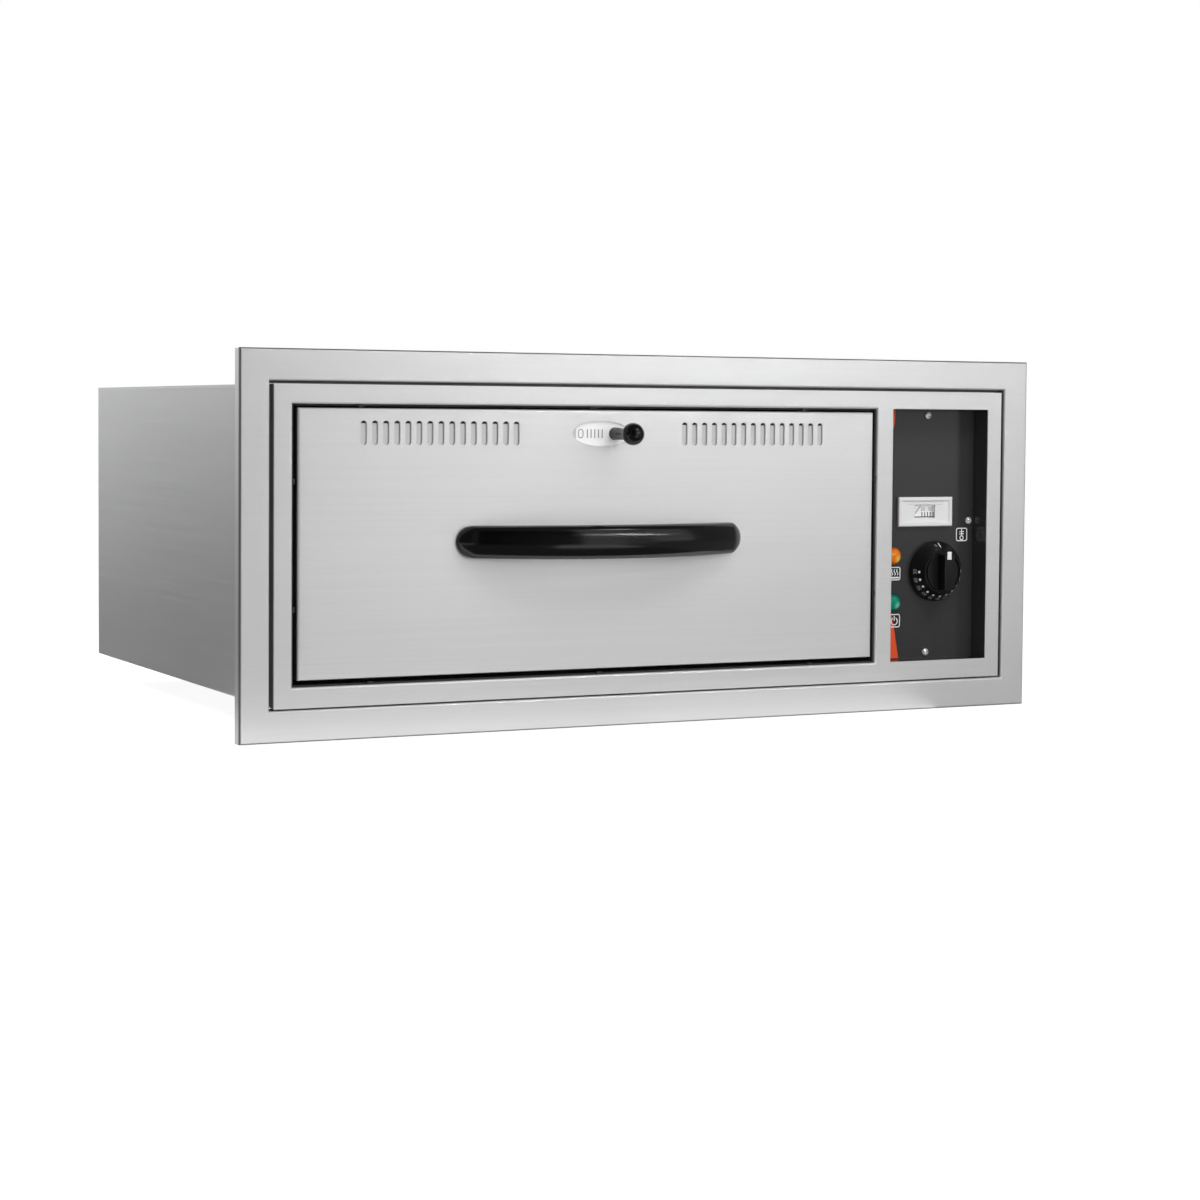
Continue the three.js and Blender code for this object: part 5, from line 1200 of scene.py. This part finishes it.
def icon_frame(x, z):
    half = (ICON_SIDE - ICON_LINE) / 2 - ICON_CORNER
    return stroke(rounded_corners(x, z, half, half, ICON_CORNER, 4), ICON_LINE, True)


def heat_icon(x, z):
    """Three rising waves over a bar."""
    lines = icon_frame(x, z)
    for dx in (-3.0, 0.0, 3.0):
        wave = [(x + dx + 0.75 * math.sin(2 * math.pi * k / 12), z - 1.6 + 5.6 * k / 12)
                for k in range(13)]
        lines += stroke(wave, ICON_LINE * 0.9)
    return lines + stroke([(x - 4.3, z - 3.9), (x + 4.3, z - 3.9)], ICON_LINE * 1.6)


def power_icon(x, z):
    ring = stroke(circle(x, z - 0.5, 3.5, 20, 122, 418), ICON_LINE)
    return icon_frame(x, z) + ring + stroke([(x, z + 0.2), (x, z + 4.5)], ICON_LINE)


def thermometer_icon(x, z):
    bulb = circle(x, z - 3.2, 1.9, 16)
    lines = icon_frame(x, z) + stroke(bulb, ICON_LINE, True)
    lines += stroke([(x, z - 1.3), (x, z + 5.0)], ICON_LINE * 1.2)
    for dz in (0.6, 2.7):
        lines += stroke([(x - 2.6, z + dz), (x + 2.6, z + dz)], ICON_LINE * 0.8)
    return lines


def make_panel_print():
    face = placed("thermometer_bezel")[4] + PANEL_SEAT
    icons = heat_icon(*HEAT_PLACE) + power_icon(*POWER_PLACE) + thermometer_icon(*METER_PLACE)
    printed("panel_icons", icons, face, "cabinet", "ink_white")
    left = drawn_box("control_panel")[0].x + BAND_MARGIN
    band = [(left, BAND_FOOT), *BAND_EDGE, (left, BAND_HEAD)]
    printed("panel_band", [band], face + PRINT_CLEAR * 0.5, "cabinet", "ink_orange")


# ---- inside and rear

PAN_RIM = 14.0
PAN_TAPER = 11.0
PAN_CORNER = 38.0
PAN_SHEET = 1.0
PAN_FOOT = 10.0
PAN_RIM_CORNER = 18.0


def pan_ring(low, high, inset, z, radius):
    middle = ((low.x + high.x) / 2, (low.y + high.y) / 2)
    half = ((high.x - low.x) / 2 - inset - radius, (high.y - low.y) / 2 - inset - radius)
    return [at(x, y, z) for x, y in rounded_corners(*middle, *half, radius, 14)]


def make_food_pan():
    low, high = drawn_box("food_pan")
    wall = PAN_RIM + PAN_TAPER
    rings = []

    def add(inset, z, radius):
        rings.append(pan_ring(low, high, inset, z, radius))

    def foot_arc(sheet, order):
        for k in order:
            angle = math.pi / 2 * k / 8
            inset = wall + sheet + (PAN_FOOT - sheet) * (1 - math.cos(angle))
            drop = (PAN_FOOT - sheet) * (1 - math.sin(angle))
            add(inset, low.z + sheet + drop, PAN_CORNER - inset + wall)

    foot_arc(0.0, range(8, -1, -1))
    rim = high.z - PAN_SHEET
    add(PAN_RIM, rim - 2, PAN_CORNER)
    add(PAN_RIM - 0.5, rim - 0.6, PAN_CORNER + 0.5)
    add(PAN_RIM - 1.6, rim, PAN_CORNER + 1.6)
    add(0.4, rim, PAN_RIM_CORNER - 0.4)
    add(0, rim + 0.4, PAN_RIM_CORNER)
    add(0.3, high.z, PAN_RIM_CORNER - 0.3)
    add(PAN_RIM - 0.8, high.z, PAN_CORNER + 0.8)
    add(PAN_RIM + 0.5, high.z - 0.5, PAN_CORNER - 0.5)
    add(PAN_RIM + PAN_SHEET, high.z - 2, PAN_CORNER - PAN_SHEET)
    foot_arc(PAN_SHEET, range(0, 9))
    make_piece("pan", loft(rings), "drawer", "pan", ["food_pan"])


GLAND_BORE = 4.5
GLAND_SIDES = 72
RIB_DEPTH = 0.35


def make_gland():
    x, z, radius, front, back = placed("cable_gland")
    bore = GLAND_BORE
    collar = back - 8.0
    profile = [
        (bore, front), (radius - 3.7, front), (radius - 3.5, front + 0.3),
        (radius - 3.5, front + 4), (radius - 0.6, front + 4), (radius - 0.5, front + 9),
        (radius - 3.5, front + 9), (radius - 3.5, collar - 3.5), (radius, collar - 3.5),
        (radius, collar - 0.6), (radius - 0.6, collar), (radius - 3.0, collar),
        (radius - 3.2, collar + 2.4), (radius - 4.2, back - 1.4), (radius - 6.0, back),
        (bore + 0.4, back), (bore, back - 0.4),
    ]
    rings = []
    for r, y in profile:
        ribbed = collar < y < back - 1 and r > bore + 1
        reaches = [r - (RIB_DEPTH if ribbed and k % 3 == 0 else 0) for k in range(GLAND_SIDES)]
        rings.append([around(x, z, reach, 2 * math.pi * k / GLAND_SIDES, y)
                      for k, reach in enumerate(reaches)])
    make_piece("gland", loft(rings, closed=True), "cabinet", "black_moulding",
               ["cable_gland"])


SEAM_LAP = 2.2            # of the bead below the cover's underside


def make_seam_beads():
    """Dressed weld beads that close the seams between the top cover and both walls."""
    low, high = drawn_box("top_cover")
    profile = [(-1.2, -SEAM_LAP), (0.0, -SEAM_LAP - 0.2), (0.03, -SEAM_LAP + 0.2), (0.03, 0.1),
               (0.0, 0.3), (-1.2, 0.1)]
    for side, x, out in (("left", low.x, -1), ("right", high.x, 1)):
        rings = [[at(x + out * dx, y, low.z + dz) for dx, dz in profile]
                 for y in (low.y + 0.1, high.y - 0.1)]
        make_piece(f"seam_bead_{side}", loft(rings), "cabinet", "housing")


make_drawer_front()
make_damper_plate()
make_slot_shade_strips()
make_seam_beads()
make_handle()
make_damper_knob()
make_damper_marks()
make_thermostat_knob()
make_knob_marks()
make_lamp("lamp_lens_amber", "pilot_amber", "amber")
make_lamp("lamp_lens_green", "pilot_green", "green")
make_panel_screws()
make_needle()
make_thermometer_marks()
make_panel_print()
make_food_pan()
make_gland()


# ---- floor, light and background

FLOOR_HALF = 12.0
FLOOR_GAP = 0.0005        # under the part
FLOOR_ALBEDO = 0.38
AMBIENT = 0.34            # of the world, on the object
FLOOR_GLOW = 1 - FLOOR_ALBEDO * AMBIENT
CARDS_Y = -0.95           # of the cards in front of the part
CARDS_HEIGHT = 1.3
LOW_CARD = 0.26           # height of the right card's shaded foot
STRIPS_Y = -0.94
STRIP_FOOT = 0.517
STRIP_HEIGHT = 0.014


def flat_face(name, corners):
    mesh = bpy.data.meshes.new(name)
    mesh.from_pydata(corners, [], [(0, 1, 2, 3)])
    face = bpy.data.objects.new(name, mesh)
    bpy.context.scene.collection.objects.link(face)
    return face


def level_corners(x0, x1, y0, y1, z):
    return [(x0, y0, z), (x1, y0, z), (x1, y1, z), (x0, y1, z)]


def make_floor():
    floor = flat_face("floor", level_corners(-FLOOR_HALF, FLOOR_HALF, -FLOOR_HALF, FLOOR_HALF,
                                             cad_bounds[0][2] - FLOOR_GAP))
    surface = Surface("floor_paper", grey(FLOOR_ALBEDO), 0.9, Specular_IOR_Level=0.0)
    fibre = surface.noise(300.0, 3.0)
    surface.tint(surface.remap(fibre, 0.0, 1.0), 0.98, 1.02)
    rays = surface.node("ShaderNodeLightPath").outputs
    seen = surface.plus(rays["Is Camera Ray"], rays["Is Glossy Ray"])
    seen = surface.math("MINIMUM", surface.plus(seen, rays["Is Transmission Ray"]), 1.0)
    glow = surface.node("ShaderNodeEmission")
    glow.inputs["Color"].default_value = (1, 1, 1, 1)
    surface.link(surface.times(seen, FLOOR_GLOW), glow.inputs["Strength"])
    both = surface.node("ShaderNodeAddShader")
    surface.link(surface.shader.outputs[0], both.inputs[0])
    surface.link(glow.outputs[0], both.inputs[1])
    surface.link(both.outputs[0], surface.tree.nodes["Material Output"].inputs["Surface"])
    floor.data.materials.append(surface.material)


def make_world():
    """White background for the camera and in reflections, and a softer light on the object."""
    world = bpy.data.worlds.new("studio")
    world.use_nodes = True
    bpy.context.scene.world = world
    tree = world.node_tree
    path = tree.nodes.new("ShaderNodeLightPath")
    strength = AMBIENT
    for ray in ("Is Glossy Ray", "Is Transmission Ray", "Is Camera Ray"):
        mix = tree.nodes.new("ShaderNodeMix")
        mix.data_type = "FLOAT"
        mix.inputs["B"].default_value = 1.0
        tree.links.new(path.outputs[ray], mix.inputs["Factor"])
        if strength is AMBIENT:
            mix.inputs["A"].default_value = AMBIENT
        else:
            tree.links.new(strength, mix.inputs["A"])
        strength = mix.outputs["Result"]
    background = tree.nodes["Background"]
    background.inputs["Color"].default_value = (1, 1, 1, 1)
    tree.links.new(strength, background.inputs["Strength"])


def grey_card(name, corners, foot_shade, head_shade):
    """A card that only reflections show, shaded from its lowest to its highest edge."""
    card = flat_face(name, corners)
    surface = Surface(name, grey(0.0), 1.0, Specular_IOR_Level=0.0)
    low = min(corner[2] for corner in corners)
    high = max(corner[2] for corner in corners)
    height = surface.split(surface.coordinates)["Z"]
    shade = surface.remap(height, foot_shade, head_shade, low, high + 0.001)
    surface.shader.inputs["Emission Color"].default_value = (1, 1, 1, 1)
    surface.link(shade, surface.shader.inputs["Emission Strength"])
    card.data.materials.append(surface.material)
    card.visible_camera = False
    card.visible_diffuse = False
    card.visible_transmission = False
    card.visible_shadow = False


def standing_card(name, left, right, height, foot_shade, head_shade, foot=0.0):
    z = cad_bounds[0][2] + foot
    corners = [(*left, z), (*right, z), (*right, z + height), (*left, z + height)]
    grey_card(name, corners, foot_shade, head_shade)


def front_card(name, x0, x1, foot_shade, head_shade, height=CARDS_HEIGHT, foot=0.0, y=CARDS_Y):
    standing_card(name, (x0, y), (x1, y), height, foot_shade, head_shade, foot)


def lying_card(name, x0, x1, y0, y1, shade, height=0.001):
    grey_card(name, level_corners(x0, x1, y0, y1, cad_bounds[0][2] + height), shade, shade)


def area_light(name, place, aim, size, power):
    data = bpy.data.lights.new(name, "AREA")
    data.shape = "RECTANGLE"
    data.size, data.size_y = size
    data.energy = power
    lamp = bpy.data.objects.new(name, data)
    place = Vector(place)
    lamp.rotation_euler = (Vector(aim) - place).to_track_quat("-Z", "Y").to_euler()
    lamp.location = place
    bpy.context.scene.collection.objects.link(lamp)


make_floor()
make_world()
front_card("card_left", -1.6, -0.85, 0.15, 0.15)
standing_card("card_left_side", (-1.6, 0.1), (-1.6, CARDS_Y), CARDS_HEIGHT, 0.08, 0.08)
front_card("card_front", -0.85, 0.03, 0.0, 0.0)
front_card("card_middle", 0.03, 0.4, 0.66, 0.66)
front_card("card_centre", 0.4, 0.72, 0.42, 0.42)
front_card("card_right_low", 0.72, 1.6, 0.05, 1.1, LOW_CARD)
front_card("card_right", 0.72, 1.6, 0.7, 0.7, 1.04, LOW_CARD)
standing_card("card_side", (1.6, CARDS_Y), (1.6, 0.3), CARDS_HEIGHT, 0.2, 0.2)
for side, x0, x1, shade in (("left", 0.06, 0.32, 22.0), ("middle", 0.32, 0.7, 60.0),
                            ("right", 0.7, 1.0, 25.0)):
    front_card(f"card_strip_{side}", x0, x1, shade, shade, STRIP_HEIGHT, STRIP_FOOT, STRIPS_Y)
lying_card("card_floor_near", -1.1, 0.3, -0.5, -0.12, 0.14)
lying_card("card_floor_left", -1.1, -0.15, CARDS_Y, -0.5, 0.14)
lying_card("card_floor_front", -0.15, 0.3, CARDS_Y, -0.5, 1.2)
lying_card("card_floor_right", 0.3, 1.6, CARDS_Y, 0.3, 0.25)
lying_card("card_above", -1.6, 1.6, CARDS_Y, 0.5, 0.1, CARDS_HEIGHT)
standing_card("card_wall", (-1.11, 0.63), (-0.21, 1.08), 0.9, 0.0, 1.9)
lying_card("card_floor_side", -1.3, -0.38, 0.2, 1.5, 0.15)
area_light("key", (0.0, -2.2, 0.42), (0.0, 0.0, 0.15), (1.6, 0.6), 16.0)
area_light("top", (0.3, -2.2, 2.8), (0.0, 0.0, 0.15), (2.2, 1.4), 22.0)
area_light("glint", (0.44, -0.93, 1.2), (-0.05, -0.05, 0.25), (0.45, 0.35), 3.0)
area_light("wall", (-0.95, 0.95, 0.75), (-0.36, 0.5, 0.2), (0.4, 0.4), 10.0)

bpy.context.scene.view_settings.view_transform = "Standard"
